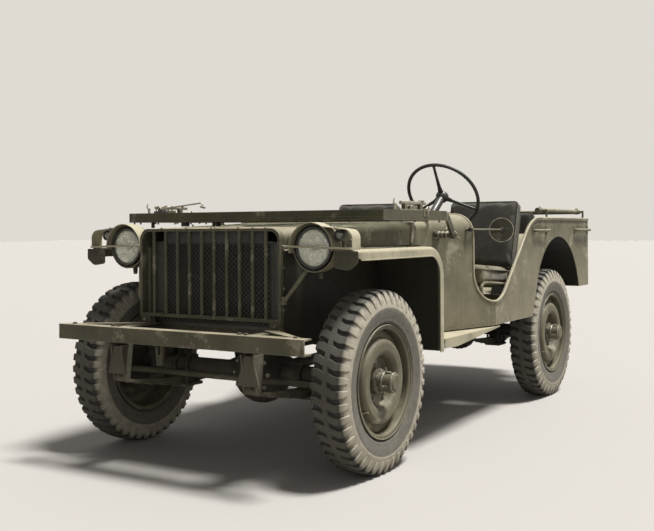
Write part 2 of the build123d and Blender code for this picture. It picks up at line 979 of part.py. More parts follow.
def fender_solid():
    """Left fender: pressed sheet with an outer lip, a lamp notch and an inner apron."""
    with BuildPart() as fender:
        add(fender_form(0, fender_inner_x))
        add(fender_form(sheet, fender_inner_x - 1), mode=Mode.SUBTRACT)
        block(
            (fender_inner_x, fender_inner_x + sheet),
            (fender_front_y + sheet, fender_rear_y - sheet),
            (rail_front_top - 60, fender_top_z - sheet),
        )
        with BuildSketch(
            Plane(origin=(0, fender_front_y - 1, 0), x_dir=(1, 0, 0), z_dir=(0, -1, 0))
        ) as mouth:
            with BuildLine() as edge:
                low_z = fender_top_z - fender_lip - 1
                Polyline(
                    (fender_inner_x + sheet, fender_top_z - sheet),
                    (fender_outer_x - fender_corner, fender_top_z - sheet),
                    (fender_outer_x - sheet, low_z + 6),
                    (fender_outer_x - sheet, low_z),
                    (fender_inner_x + sheet, low_z),
                    close=True,
                )
            make_face(edge.line)
        extrude(mouth.sketch, amount=-fender_corner - 4, mode=Mode.SUBTRACT)
        rod(
            (lamp_x, fender_front_y - 40, lamp_z),
            (lamp_x, lamp_lens_y + lamp_depth + lamp_notch_gap, lamp_z),
            lamp_radius + lamp_notch_gap,
            Mode.SUBTRACT,
        )
    return fender.part


with BuildPart() as left_fender:
    add(fender_solid())
save(left_fender.part, "left_fender")

with BuildPart() as right_fender:
    mirror(fender_solid(), about=Plane.YZ)
save(right_fender.part, "right_fender")

# Cowl with firewall, instrument panel, floor

# station y, half width, top z, shoulder radius
cowl_stations = [
    (cowl_front_y, cowl_front_half, 972.0, 70.0),
    (700.0, body_half(700.0), 1010.0, 84.0),
    (945.0, body_half(945.0), 1013.0, 95.0),
    (flare_end_y, body_half_width, 1013.0, 98.0),
]


def cowl_face(station, inset):
    """Cowl outline at one station: flared sides and round shoulders."""
    y, half, top, shoulder = station
    base = sill_z - (20 if inset else 0)
    return hood_section(y, half - inset, top - inset, shoulder - inset, base)


def door_outline(mode=Mode.ADD):
    """Draw the door opening and all that is above the body's top rail, in (y, z)."""
    with BuildLine() as edge:
        FilletPolyline(
            (door_front_y, 1300),
            (door_front_y, door_sill_z),
            (1184, door_sill_z),
            (1634, rail_top_z),
            (3000, rail_top_z),
            radius=[155, 205, 290],
        )
        Polyline((3000, rail_top_z), (3000, 1300), (door_front_y, 1300))
    make_face(edge.line, mode=mode)


column_foot = wheel_centre - column_axis * ((wheel_hub_y - 505) / column_axis.Y)


def column_hole():
    """Clear the steering column's way out of the piece being built."""
    start = column_foot - column_axis * 60
    end = wheel_centre - column_axis * 200
    rod(tuple(start), tuple(end), column_radius + column_hole_gap, Mode.SUBTRACT)


def front_space(wall_y, shelf_z):
    """Cut the space over the cowl's shelf, ahead of its sloping wall."""
    rise = 1100 - shelf_z
    with BuildSketch(Plane.YZ) as cut:
        with BuildLine() as edge:
            Polyline(
                (cowl_front_y - 60, shelf_z),
                (wall_y, shelf_z),
                (wall_y + cowl_wall_lean * rise, 1100),
                (cowl_front_y - 60, 1100),
                close=True,
            )
        make_face(edge.line)
    extrude(cut.sketch, amount=800, both=True, mode=Mode.SUBTRACT)


inner = sheet * 1.06
with BuildPart() as cowl_cavity:
    stations = [(cowl_front_y + sheet, cowl_front_half + flare * sheet, 972.8, 70.0)]
    stations += cowl_stations[1:3]
    stations += [(flare_end_y + 1, body_half_width, 1013.0, 98.0)]
    loft([cowl_face(station, inner) for station in stations], ruled=True)
    front_space(cowl_wall_y + sheet * 1.25, cowl_shelf_z - sheet)

with BuildPart() as cowl:
    loft([cowl_face(station, 0) for station in cowl_stations], ruled=True)
    front_space(cowl_wall_y, cowl_shelf_z)
    add(cowl_cavity.part, mode=Mode.SUBTRACT)
    with BuildSketch(Plane.YZ) as door:
        door_outline()
    extrude(door.sketch, amount=800, both=True, mode=Mode.SUBTRACT)
    block(
        (-tunnel_half, tunnel_half),
        (cowl_front_y - 1, cowl_front_y + sheet + 1),
        (sill_z - 1, tunnel_top_z),
        Mode.SUBTRACT,
    )
    block(
        (-fender_inner_x, fender_inner_x),
        (cowl_front_y - 1, cowl_front_y + sheet + 1),
        (sill_z - 1, floor_z),
        Mode.SUBTRACT,
    )
    column_hole()
    for side in (1, -1):
        inside_x = side * (body_half(pivot_y) - sheet)
        rod((inside_x, pivot_y, pivot_z), (side * (pivot_x - 8), pivot_y, pivot_z), 15)
        rod(
            (side * (pivot_x - 8), pivot_y, pivot_z),
            (side * (pivot_x + 22), pivot_y, pivot_z),
            pivot_pin_radius,
        )
save(cowl.part, "cowl")

with BuildPart() as instrument_panel:
    extrude(
        cowl_face((930.0, body_half(925.0), 1012.8, 94.4), inner + seat_gap),
        amount=5,
    )
    block((-700, 700), (900, 950), (300, 850), Mode.SUBTRACT)
    # gauge x, z, radius
    for gauge_x, gauge_z, gauge_radius in (
        (0, 935, 45),
        (-95, 965, 26),
        (-95, 900, 26),
        (95, 965, 26),
        (95, 900, 26),
    ):
        rod((gauge_x, 930, gauge_z), (gauge_x, 936, gauge_z), gauge_radius)
    column_hole()
save(instrument_panel.part, "instrument_panel")

toe_top_z = 700.0
toe_foot_y = 700.0
with BuildPart() as floor:
    with BuildSketch(Plane.XY.offset(floor_z)) as front_floor:
        with BuildLine() as edge:
            front_y = cowl_front_y + sheet + seat_gap
            half_front = body_half(front_y) - inner - seat_gap * 2
            half_side = body_half_width - inner - seat_gap * 2
            Polyline(
                (-half_front, front_y),
                (half_front, front_y),
                (half_side, flare_end_y),
                (half_side, riser_y),
                (-half_side, riser_y),
                (-half_side, flare_end_y),
                close=True,
            )
        make_face(edge.line)
    extrude(front_floor.sketch, amount=sheet)
    block(
        (-tunnel_half + sheet, tunnel_half - sheet),
        (cowl_front_y, tunnel_end_y - sheet),
        (floor_z - 1, floor_z + sheet + 1),
        Mode.SUBTRACT,
    )
    block(
        (-tunnel_half, tunnel_half),
        (cowl_front_y + sheet + seat_gap, tunnel_end_y),
        (floor_z, tunnel_top_z),
    )
    block(
        (-tunnel_half + sheet, tunnel_half - sheet),
        (cowl_front_y, tunnel_end_y - sheet),
        (floor_z - 1, tunnel_top_z - sheet),
        Mode.SUBTRACT,
    )
    with BuildSketch(Plane.YZ.offset(-cowl_front_half + 12)) as toe_board:
        with BuildLine() as edge:
            Polyline(
                (cowl_front_y + sheet + seat_gap, toe_top_z),
                (cowl_front_y + sheet + seat_gap, toe_top_z - 5.8),
                (toe_foot_y - 6, floor_z + sheet - 1),
                (toe_foot_y, floor_z + sheet - 1),
                close=True,
            )
        make_face(edge.line)
    extrude(toe_board.sketch, amount=2 * cowl_front_half - 24)
    block(
        (-tunnel_half + sheet, tunnel_half - sheet),
        (cowl_front_y, tunnel_end_y - sheet),
        (floor_z - 1, tunnel_top_z - sheet),
        Mode.SUBTRACT,
    )
    column_hole()
    block(
        (-half_side, half_side),
        (riser_y, riser_y + sheet),
        (floor_z, rear_floor_z + sheet),
    )
    block(
        (-well_inner_x + seat_gap, well_inner_x - seat_gap),
        (riser_y, rear_panel_y - sheet - seat_gap),
        (rear_floor_z, rear_floor_z + sheet),
    )
save(floor.part, "floor")

# Body sides, rear panel and wheel wells


def arch_outline(grow, mode=Mode.ADD):
    """Draw the wheel arch in (y, z): a straight front edge and a round top."""
    start_y = arch_front_y - grow
    radius = arch_radius + grow
    front = (arch_centre_y - radius * math.cos(math.radians(30)), arch_centre_z + radius / 2)
    top = (arch_centre_y, arch_centre_z + radius)
    back_angle = math.radians(13)
    back = (
        arch_centre_y + radius * math.cos(back_angle),
        arch_centre_z + radius * math.sin(back_angle),
    )
    with BuildLine() as edge:
        Line((start_y, sill_z - 20), front)
        ThreePointArc(front, top, back)
        Polyline(back, (back[0], sill_z - 20), (start_y, sill_z - 20))
    make_face(edge.line, mode=mode)


def side_panel():
    """Left side from the cowl's seam to the rear corner, with rolled edges."""
    corner_y = rear_panel_y - rear_corner
    with BuildPart() as side:
        block(
            (body_half_width - sheet, body_half_width),
            (flare_end_y, corner_y),
            (sill_z, rail_top_z),
        )
        with BuildSketch(Plane.YZ.offset(body_half_width - sheet - 6)) as lip:
            door_outline()
            offset(amount=edge_lip)
            door_outline(Mode.SUBTRACT)
            with Locations(((flare_end_y + corner_y) / 2, 800)):
                Rectangle(corner_y - flare_end_y, 500, mode=Mode.INTERSECT)
        extrude(lip.sketch, amount=sheet + 12)
        with BuildSketch(Plane.YZ) as openings:
            door_outline()
            arch_outline(0)
        extrude(openings.sketch, amount=800, mode=Mode.SUBTRACT)
        block(
            (body_half_width - 30, body_half_width + 30),
            (arch_centre_y, corner_y + 1),
            (sill_z - 1, rear_sill_z),
            Mode.SUBTRACT,
        )
    return side.part


with BuildPart() as left_side_panel:
    add(side_panel())
save(left_side_panel.part, "left_side_panel")

with BuildPart() as right_side_panel:
    mirror(side_panel(), about=Plane.YZ)
save(right_side_panel.part, "right_side_panel")


def rear_strip(half, depth, corner):
    """Plan of the rear panel with its two round corners."""
    start_y = rear_panel_y - rear_corner
    with BuildLine() as edge:
        FilletPolyline(
            (-half, start_y),
            (-half, depth),
            (half, depth),
            (half, start_y),
            radius=corner,
        )
        Line((half, start_y), (-half, start_y))
    make_face(edge.line)


with BuildPart() as rear_panel:
    with BuildSketch(Plane.XY.offset(rear_sill_z)) as strip:
        rear_strip(body_half_width, rear_panel_y, rear_corner - 0.01)
    extrude(strip.sketch, amount=rail_top_z - rear_sill_z)
    with BuildSketch(Plane.XY.offset(rear_sill_z - 1)) as strip:
        rear_strip(body_half_width - sheet, rear_panel_y - sheet, rear_corner - sheet - 0.01)
    extrude(strip.sketch, amount=rail_top_z - rear_sill_z + 2, mode=Mode.SUBTRACT)
    block((-60, 60), (rear_panel_y - 1, rear_panel_y + 12), (spare_z - 60, spare_z + 60))
    rod((0, rear_panel_y, spare_z), (0, spare_y + 26, spare_z), spare_bore - seat_gap)
    rod((0, spare_y + 16.8, spare_z), (0, spare_y + 26, spare_z), 45)
save(rear_panel.part, "rear_panel")


def wheel_well():
    """Left wheel well: a curved cover and an inner wall."""
    with BuildPart() as well:
        with BuildSketch(Plane.YZ.offset(well_inner_x)) as cover:
            arch_outline(well_gap + sheet)
            arch_outline(well_gap, Mode.SUBTRACT)
            with Locations((arch_centre_y, sill_z + 250)):
                Rectangle(1200, 500, mode=Mode.INTERSECT)
        extrude(cover.sketch, amount=body_half_width - sheet - seat_gap - well_inner_x)
        with BuildSketch(Plane.YZ.offset(well_inner_x)) as wall:
            arch_outline(well_gap + sheet)
            with Locations((arch_centre_y, sill_z + 250)):
                Rectangle(1200, 500, mode=Mode.INTERSECT)
        extrude(wall.sketch, amount=sheet)
        block(
            (well_inner_x - 1, body_half_width),
            (arch_front_y - 60, riser_y + sheet + seat_gap),
            (sill_z - 1, rear_floor_z + sheet + 1),
            Mode.SUBTRACT,
        )
        block(
            (well_inner_x - 1, body_half_width),
            (arch_centre_y, rear_panel_y),
            (sill_z - 21, rear_sill_z),
            Mode.SUBTRACT,
        )
    return well.part


with BuildPart() as wheel_wells:
    both_sides(wheel_well())
save(wheel_wells.part, "wheel_wells")


def step_solid():
    """Left step: a ledge that fills the corner beside the flared side, with a skirt."""
    ledge_z = sill_z - 6
    with BuildPart() as step:
        with BuildSketch(Plane.XY.offset(ledge_z - sheet)) as ledge:
            with BuildLine() as edge:
                Polyline(
                    (cowl_front_half + 1, fender_rear_y + seat_gap),
                    (fender_outer_x, fender_rear_y + seat_gap),
                    (fender_outer_x, 1150),
                    (body_half_width, 1150),
                    (body_half_width, flare_end_y),
                    close=True,
                )
            make_face(edge.line)
        extrude(ledge.sketch, amount=sheet)
        with BuildSketch(Plane.YZ.offset(fender_outer_x - sheet)) as skirt:
            with BuildLine() as edge:
                Polyline(
                    (fender_rear_y + seat_gap, ledge_z - 1),
                    (fender_rear_y + seat_gap, 430),
                    (640, 425),
                    (1150, ledge_z - sheet),
                    (1150, ledge_z - 1),
                    close=True,
                )
            make_face(edge.line)
        extrude(skirt.sketch, amount=sheet)
        block((cowl_front_half - 20, cowl_front_half + 60), (560, 760), (ledge_z - 1, sill_z))
    return step.part


with BuildPart() as steps:
    both_sides(step_solid())
save(steps.part, "steps")

# Lamps


def headlamp_shell():
    """Left headlamp bucket with its brace, and the marker lamp's body."""
    rear_y = lamp_lens_y + lamp_depth
    with BuildPart() as shell:
        with BuildSketch(Plane.XY) as profile:
            with BuildLine() as edge:
                Polyline(
                    (0, rear_y),
                    (0, lamp_lens_y + 14),
                    (lens_radius, lamp_lens_y + 14),
                    (lens_radius, lamp_lens_y),
                    (bezel_radius, lamp_lens_y - 4),
                    (bezel_radius, lamp_lens_y + 21),
                    (lamp_radius - sheet, lamp_lens_y + 21),
                    (lamp_radius - sheet, lamp_lens_y),
                    (lamp_radius, lamp_lens_y),
                )
                FilletPolyline(
                    (lamp_radius, lamp_lens_y),
                    (lamp_radius, rear_y),
                    (0, rear_y),
                    radius=lamp_round,
                )
            make_face(edge.line)
        revolve(profile.sketch, axis=Axis.Y)
    with BuildPart() as placed:
        add(shell.part.moved(Location((lamp_x, 0, lamp_z))))
        rod(
            (marker_x, marker_y, marker_z),
            (marker_x, marker_y + marker_length, marker_z),
            marker_radius,
        )
        rod((marker_x, marker_y + 30, marker_z), (marker_x, marker_y + 30, fender_top_z), 7)
        foot_x = guard_half_width + seat_gap
        rod((lamp_x - 45, lamp_lens_y + 35, lamp_z - 76), (foot_x + 10, -248, 675), 8)
        block((foot_x, foot_x + 14), (-257, -240), (660, 690))
    return placed.part


with BuildPart() as headlamps:
    both_sides(headlamp_shell())
save(headlamps.part, "headlamps")

with BuildPart() as lamp_lenses:
    for side in (1, -1):
        lens_back = lamp_lens_y + 14 - seat_gap
        rod(
            (side * lamp_x, lens_back, lamp_z),
            (side * lamp_x, lamp_lens_y + 4, lamp_z),
            lens_radius - seat_gap,
        )
        rod(
            (side * marker_x, marker_y - seat_gap, marker_z),
            (side * marker_x, marker_y - 5, marker_z),
            marker_radius - 4,
        )
save(lamp_lenses.part, "lamp_lenses")


def lamp_guard():
    """Left strap guard: a hoop round the headlamp, a loop over the marker and a cross rod."""
    strap_y = lamp_lens_y - strap_lead
    arch = lamp_radius + 1.5 + strap_thickness / 2

    def on_hoop(angle):
        return (
            lamp_x + arch * math.cos(math.radians(angle)),
            lamp_z + arch * math.sin(math.radians(angle)),
        )

    with BuildPart() as guard:
        with BuildSketch(Plane(origin=(0, strap_y, 0), x_dir=(1, 0, 0), z_dir=(0, -1, 0))) as strap:
            with BuildLine() as hoop:
                ThreePointArc(on_hoop(192), on_hoop(93), on_hoop(-6))
            trace(hoop.line, line_width=strap_thickness)
            with BuildLine() as loop:
                FilletPolyline(
                    on_hoop(loop_start_angle),
                    (loop_outer_x, loop_corner_z),
                    (loop_outer_x, fender_top_z + seat_gap),
                    radius=loop_bend,
                )
            trace(loop.line, line_width=strap_thickness)
        extrude(strap.sketch, amount=-strap_width)
        rod_y = strap_y - 5
        rod((guard_half_width + seat_gap, rod_y, 883), (loop_outer_x, rod_y, 875), 4)
        block((loop_outer_x - 14, loop_outer_x + 1), (rod_y, strap_y + 12), (870.3, 878))
    return guard.part


with BuildPart() as lamp_guards:
    both_sides(lamp_guard())
save(lamp_guards.part, "lamp_guards")

# Seats


def cushion(x_range, front_y, length, base_z, thickness, slope, corner):
    """Soft seat base, tilted back a little."""
    width = x_range[1] - x_range[0]
    plane = Plane(
        origin=((x_range[0] + x_range[1]) / 2, front_y, base_z), x_dir=(1, 0, 0), z_dir=(0, 0, 1)
    ).rotated((-slope, 0, 0))
    with BuildPart() as pad:
        with BuildSketch(plane) as outline:
            with Locations((0, length / 2)):
                RectangleRounded(width, length, corner)
        extrude(outline.sketch, amount=thickness)
        fillet(pad.faces().sort_by(Axis.Z)[-1].edges(), corner * 0.5)
    return pad.part


def backrest(x_range, base_y, base_z, height, thickness, lean, corner):
    """Soft seat back, leaning rearward; base_y is its rear face's foot."""
    width = x_range[1] - x_range[0]
    plane = Plane(
        origin=((x_range[0] + x_range[1]) / 2, base_y, base_z), x_dir=(1, 0, 0), z_dir=(0, -1, 0)
    ).rotated((-lean, 0, 0))
    with BuildPart() as pad:
        with BuildSketch(plane) as outline:
            with Locations((0, height / 2)):
                RectangleRounded(width, height, corner)
        extrude(outline.sketch, amount=thickness)
        fillet(pad.faces().sort_by(Axis.Y)[0].edges(), corner * 0.4)
    return pad.part


driver_range = (seat_inner_x, seat_inner_x + seat_width)
passenger_range = (passenger_outer_x, passenger_outer_x + seat_width)
seat_ranges = (driver_range, passenger_range)

with BuildPart() as front_seat_cushions:
    for seat_range in seat_ranges:
        add(
            cushion(
                seat_range,
                cushion_front_y,
                cushion_length,
                cushion_base_z,
                cushion_thickness,
                cushion_slope,
                36,
            )
        )
save(front_seat_cushions.part, "front_seat_cushions")

with BuildPart() as front_seat_backs:
    for seat_range in seat_ranges:
        add(
            backrest(
                seat_range, back_base_y, back_base_z, back_height, back_thickness, back_lean, 34
            )
        )
save(front_seat_backs.part, "front_seat_backs")

rear_cushion_y = wheelbase + 143.0
rear_cushion_length = 350.0
rear_cushion_z = 740.0
rear_slope = 3.0
rear_back_y = wheelbase + 553.0
rear_back_z = 748.0
rear_lean = 10.0
with BuildPart() as rear_seat_cushion:
    add(
        cushion(
            (-rear_seat_half, rear_seat_half),
            rear_cushion_y,
            rear_cushion_length,
            rear_cushion_z,
            80,
            rear_slope,
            36,
        )
    )
save(rear_seat_cushion.part, "rear_seat_cushion")

with BuildPart() as rear_seat_back:
    add(backrest((-rear_seat_half, rear_seat_half), rear_back_y, rear_back_z, 310, 60, rear_lean, 40))
save(rear_seat_back.part, "rear_seat_back")

tube = 11.0
leg_tube = 9.5
cross_tube = 8.0


def seat_line(cushion_y, cushion_z, slope, back_y, back_z, lean_angle):
    """Front and knee points (y, z) of a seat's side tube, the tube's fall and its lean."""
    fall = math.tan(math.radians(slope))
    lean = Vector(0, math.sin(math.radians(lean_angle)), math.cos(math.radians(lean_angle)))
    front_y = cushion_y + 30
    front_z = cushion_z - (tube + seat_gap) / math.cos(math.radians(slope)) - 30 * fall
    # the side tube meets the upright where both keep their gap to the cushion and the back
    reach = back_y + (tube + seat_gap) / lean.Z - (back_z - front_z) * lean.Y / lean.Z
    knee_y = (reach + front_y * fall * lean.Y / lean.Z) / (1 + fall * lean.Y / lean.Z)
    knee_z = front_z - (knee_y - front_y) * fall
    return (front_y, front_z), (knee_y, knee_z), fall, lean


def front_seat_frame(x_range):
    """Tube frame of one front seat: two bent side tubes, rear legs and two cross tubes."""
    front, knee, fall, lean = seat_line(
        cushion_front_y, cushion_base_z, cushion_slope, back_base_y, back_base_z, back_lean
    )
    foot_z = floor_z + sheet
    leg_y = cushion_front_y + cushion_length - 40
    leg_z = front[1] - (leg_y - front[0]) * fall
    brace_y = front[0] + 45
    brace_z = front[1] - 45 * fall
    low_x, high_x = x_range[0] + 30, x_range[1] - 30
    with BuildPart() as seat:
        for x in (low_x, high_x):
            turn = Vector(x, *knee)
            bent_rod([(x, front[0], foot_z), (x, *front), turn, turn + lean * 380], 30, tube)
            rod((x, leg_y, foot_z), (x, leg_y, leg_z), leg_tube)
        rod((low_x, leg_y, leg_z), (high_x, leg_y, leg_z), cross_tube)
        rod((low_x, brace_y, brace_z), (high_x, brace_y, brace_z), cross_tube)
    return seat.part


def rear_seat_frame():
    """Tube frame of the rear seat, held by the wheel wells: nothing stands on the floor."""
    front, knee, fall, lean = seat_line(
        rear_cushion_y, rear_cushion_z, rear_slope, rear_back_y, rear_back_z, rear_lean
    )
    bar_y = front[0] + 45
    bar_z = front[1] - 45 * fall
    rest_y = rear_cushion_y + rear_cushion_length - 40
    rest_z = front[1] - (rest_y - front[0]) * fall
    well_radius = arch_radius + well_gap + sheet
    post_x = well_inner_x + 16
    well_top = arch_centre_z + math.sqrt(
        well_radius**2 - (rest_y - leg_tube - arch_centre_y) ** 2
    )
    tube_x = rear_seat_half - 30
    with BuildPart() as seat:
        for x in (-tube_x, tube_x):
            turn = Vector(x, *knee)
            bent_rod([(x, *front), turn, turn + lean * 290], 30, tube)
        wall_x = well_inner_x - seat_gap
        rod((-wall_x, bar_y, bar_z), (wall_x, bar_y, bar_z), cross_tube)
        rod((-post_x, rest_y, rest_z), (post_x, rest_y, rest_z), cross_tube)
        for x in (-post_x, post_x):
            rod((x, rest_y, well_top + seat_gap), (x, rest_y, rest_z + 10), leg_tube)
    return seat.part


with BuildPart() as seat_frames:
    for seat_range in seat_ranges:
        add(front_seat_frame(seat_range))
    add(rear_seat_frame())
save(seat_frames.part, "seat_frames")

# Steering column and wheel

with BuildPart() as steering_column:
    hub_low = wheel_centre - column_axis * (wheel_dish + 30 + seat_gap)
    rod(tuple(column_foot), tuple(hub_low), column_radius)
    block((300, 356), (410, 505), (rail_mid_top, 590))
save(steering_column.part, "steering_column")

with BuildPart() as steering_wheel:
    rim_plane = Plane(origin=wheel_centre, x_dir=(1, 0, 0), z_dir=column_axis)
    with Locations(rim_plane.location):
        Torus(rim_major, rim_minor)
    hub_centre = wheel_centre - column_axis * wheel_dish
    rod(tuple(hub_centre - column_axis * 30), tuple(hub_centre + column_axis * 12), wheel_hub_radius)
    for angle in (30, 150, 270):
        spoke = Vector(math.cos(math.radians(angle)), math.sin(math.radians(angle)), 0)
        outer = rim_plane.from_local_coords(tuple(spoke * rim_major))
        start = rim_plane.from_local_coords(tuple(spoke * 15 - Vector(0, 0, wheel_dish)))
        rod(tuple(start), tuple(outer), 7)
save(steering_wheel.part, "steering_wheel")

# Windscreen, folded forward over the hood

with BuildPart() as windscreen_frame:
    inner_half = screen_half_width - screen_rail
    block(
        (-screen_half_width, screen_half_width),
        (screen_top_y, screen_foot_y),
        (screen_base_z, screen_base_z + screen_thickness),
    )
    block(
        (-inner_half, inner_half),
        (screen_top_y + screen_rail, screen_foot_y - screen_rail),
        (screen_base_z - 1, screen_base_z + screen_thickness + 1),
        Mode.SUBTRACT,
    )
    for side in (1, -1):
        with BuildSketch(Plane.YZ.offset(side * pivot_x - 7)) as arm:
            with BuildLine() as bar:
                FilletPolyline(
                    (screen_foot_y - 60, screen_base_z + screen_thickness / 2),
                    (screen_foot_y + 46, screen_base_z + screen_thickness / 2),
                    (pivot_y, pivot_z),
                    radius=44,
                )
            trace(bar.line, line_width=screen_arm)
            with Locations((pivot_y, pivot_z)):
                Circle(19)
        extrude(arm.sketch, amount=14)
    for side in (1, -1):
        rod(
            (side * pivot_x - 20, pivot_y, pivot_z),
            (side * pivot_x + 20, pivot_y, pivot_z),
            pivot_pin_radius + pin_clearance,
            Mode.SUBTRACT,
        )
    block((-6, 6), (screen_top_y, screen_foot_y), (screen_base_z + 2, screen_base_z + screen_thickness - 2))
save(windscreen_frame.part, "windscreen_frame")

with BuildPart() as windscreen_glass:
    glass_z = screen_base_z + screen_thickness / 2
    for low, high in ((-inner_half + seat_gap, -6 - seat_gap), (6 + seat_gap, inner_half - seat_gap)):
        block(
            (low, high),
            (screen_top_y + screen_rail + seat_gap, screen_foot_y - screen_rail - seat_gap),
            (glass_z - glass_thickness / 2, glass_z + glass_thickness / 2),
        )
save(windscreen_glass.part, "windscreen_glass")

# Small fittings on the body

with BuildPart() as top_bow:
    bow_x = body_half_width - 40
    bow_z = 1042.0
    bent_rod(
        [
            (bow_x, wheelbase - 167, bow_z),
            (bow_x, rear_panel_y - 35, bow_z),
            (-bow_x, rear_panel_y - 35, bow_z),
            (-bow_x, wheelbase - 167, bow_z),
        ],
        60,
        top_tube_radius,
    )
    for side in (1, -1):
        for post_y in (wheelbase - 127, wheelbase + 553):
            post_x = side * (body_half_width - sheet / 2)
            rod((side * bow_x, post_y, bow_z), (post_x, post_y, bow_z), 6)
            rod((post_x, post_y, bow_z + 6), (post_x, post_y, rail_top_z), 6)
save(top_bow.part, "top_bow")

handle_z = 931.0
handle_ends = (
    (arch_centre_y - 426, arch_centre_y - 213),
    (arch_centre_y + 302, arch_centre_y + 560),
)
with BuildPart() as body_handles:
    for side in (1, -1):
        for low, high in handle_ends:
            bent_rod(
                [
                    (side * body_half_width, low, handle_z),
                    (side * (body_half_width + 22), low, handle_z),
                    (side * (body_half_width + 22), high, handle_z),
                    (side * body_half_width, high, handle_z),
                ],
                12,
                8,
            )
save(body_handles.part, "body_handles")

mirror_radius = 60.0
with BuildPart() as mirror_piece:
    arm_start = (body_half(900) + 26, 900, 940)
    arm_end = (body_half_width - 28, 1265, 937)
    rod(arm_start, arm_end, 5)
    rod((body_half(900) + 1.2, 900, 940), (arm_start[0] + 5, 900, 940), 7)
    facing = Plane(origin=arm_end, z_dir=(-0.35, 1, 0))
    with BuildSketch(facing.offset(-1)) as disc:
        Circle(mirror_radius)
    extrude(disc.sketch, amount=8)
save(mirror_piece.part, "mirror")

with BuildPart() as tail_lamps:
    for side in (1, -1):
        rod((side * 560, rear_panel_y, 700), (side * 560, rear_panel_y + 40, 700), 38)
save(tail_lamps.part, "tail_lamps")

with BuildPart() as controls:
    # lever x, foot y, knob y, knob z, radius
    for lever_x, foot_y, knob_y, knob_z, lever_radius in (
        (0, 760, 900, 850, 7),
        (55, 790, 880, 790, 6),
        (95, 790, 900, 790, 6),
    ):
        rod((lever_x, foot_y, tunnel_top_z), (lever_x, foot_y, tunnel_top_z + 14), 13)
        rod((lever_x, foot_y, tunnel_top_z + 10), (lever_x, knob_y, knob_z), lever_radius)
        with Locations((lever_x, knob_y, knob_z)):
            Sphere(lever_radius + 11)
    for pedal_x in (240, 400, 470):
        rod((pedal_x, 636.8, 583.7), (pedal_x, 700, 650), 7)
        with BuildSketch(Plane(origin=(pedal_x, 700, 650), z_dir=(0, 0.69, 0.72))) as pad:
            RectangleRounded(56, 70, 10)
        extrude(pad.sketch, amount=8)
save(controls.part, "controls")
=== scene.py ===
"""Looks of the army 4x4 car: meshes, finishes, floor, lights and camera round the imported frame."""

import json
import logging
import math
from dataclasses import dataclass, field
from enum import Enum
from typing import Any, Callable, ClassVar, Iterable, Sequence

import bmesh
import bpy
from mathutils import Matrix, Vector
from mathutils.bvhtree import BVHTree

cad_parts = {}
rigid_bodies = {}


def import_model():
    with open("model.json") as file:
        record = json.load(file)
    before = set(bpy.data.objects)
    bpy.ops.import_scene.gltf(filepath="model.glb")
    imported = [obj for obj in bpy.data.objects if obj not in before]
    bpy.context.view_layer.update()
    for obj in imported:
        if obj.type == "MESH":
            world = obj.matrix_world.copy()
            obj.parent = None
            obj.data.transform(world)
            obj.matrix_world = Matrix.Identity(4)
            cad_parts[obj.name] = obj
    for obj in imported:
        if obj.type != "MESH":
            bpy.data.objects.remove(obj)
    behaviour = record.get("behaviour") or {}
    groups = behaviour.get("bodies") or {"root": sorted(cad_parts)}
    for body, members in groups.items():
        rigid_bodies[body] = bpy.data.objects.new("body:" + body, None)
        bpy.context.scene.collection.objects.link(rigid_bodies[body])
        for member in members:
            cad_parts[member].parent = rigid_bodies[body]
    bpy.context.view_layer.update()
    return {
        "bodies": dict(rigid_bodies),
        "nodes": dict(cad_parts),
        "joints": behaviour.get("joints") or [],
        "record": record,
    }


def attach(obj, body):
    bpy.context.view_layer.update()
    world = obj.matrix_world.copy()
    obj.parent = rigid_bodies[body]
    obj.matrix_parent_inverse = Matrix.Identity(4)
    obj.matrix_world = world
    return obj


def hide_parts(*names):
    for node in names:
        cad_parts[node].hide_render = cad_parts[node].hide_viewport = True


LOG = logging.getLogger("army_car")

# The car is drawn in millimetres with y from the front axle; the frame is in metres from its middle.
METRE = 0.001
MIDDLE_Y = 1191.5
TO_FRAME = Matrix.Scale(METRE, 4) @ Matrix.Translation((0.0, -MIDDLE_Y, 0.0))
WHEELBASE = 2007.0
AXLE_Z = 356.0
PANEL_Y = WHEELBASE + 693.0
# Points closer than this, in millimetres, become one.
MERGE = 0.01
# Faces that meet at a smaller angle than this, in degrees, shade as one.
SMOOTH = 40.0
# A wave texture of scale 1 draws a band every tau / 20 units.
WAVE_BAND = math.tau / 20

Point = Sequence[float]
Profile = Sequence[tuple[float, float]]
Node = bpy.types.Node
Noises = dict[str, Node]
NoiseTable = dict[str, tuple[float, float, float]]


class Body(Enum):
    """The moving bodies of the frame that new pieces ride on."""

    CHASSIS = "chassis"
    FRONT_LEFT = "front_left_road_wheel"
    FRONT_RIGHT = "front_right_road_wheel"
    REAR_LEFT = "rear_left_road_wheel"
    REAR_RIGHT = "rear_right_road_wheel"
    STEERING_WHEEL = "steering_wheel"
    WINDSCREEN = "windscreen"


class Head(Enum):
    """Shapes of a fastener's head."""

    RIVET = "rivet"
    BOLT = "bolt"


def linear(code: str) -> tuple[float, float, float, float]:
    """Turn an sRGB hex colour to linear.

    Args:
        code: The colour, as "#rrggbb".

    Returns:
        Linear red, green, blue and an alpha of 1.
    """
    parts = [int(code[i : i + 2], 16) / 255 for i in (1, 3, 5)]
    red, green, blue = (c / 12.92 if c <= 0.04045 else ((c + 0.055) / 1.055) ** 2.4 for c in parts)
    return red, green, blue, 1.0


def per_metre(millimetres: float) -> float:
    """Scale of a pattern whose features are this far apart."""
    return 1000.0 / millimetres


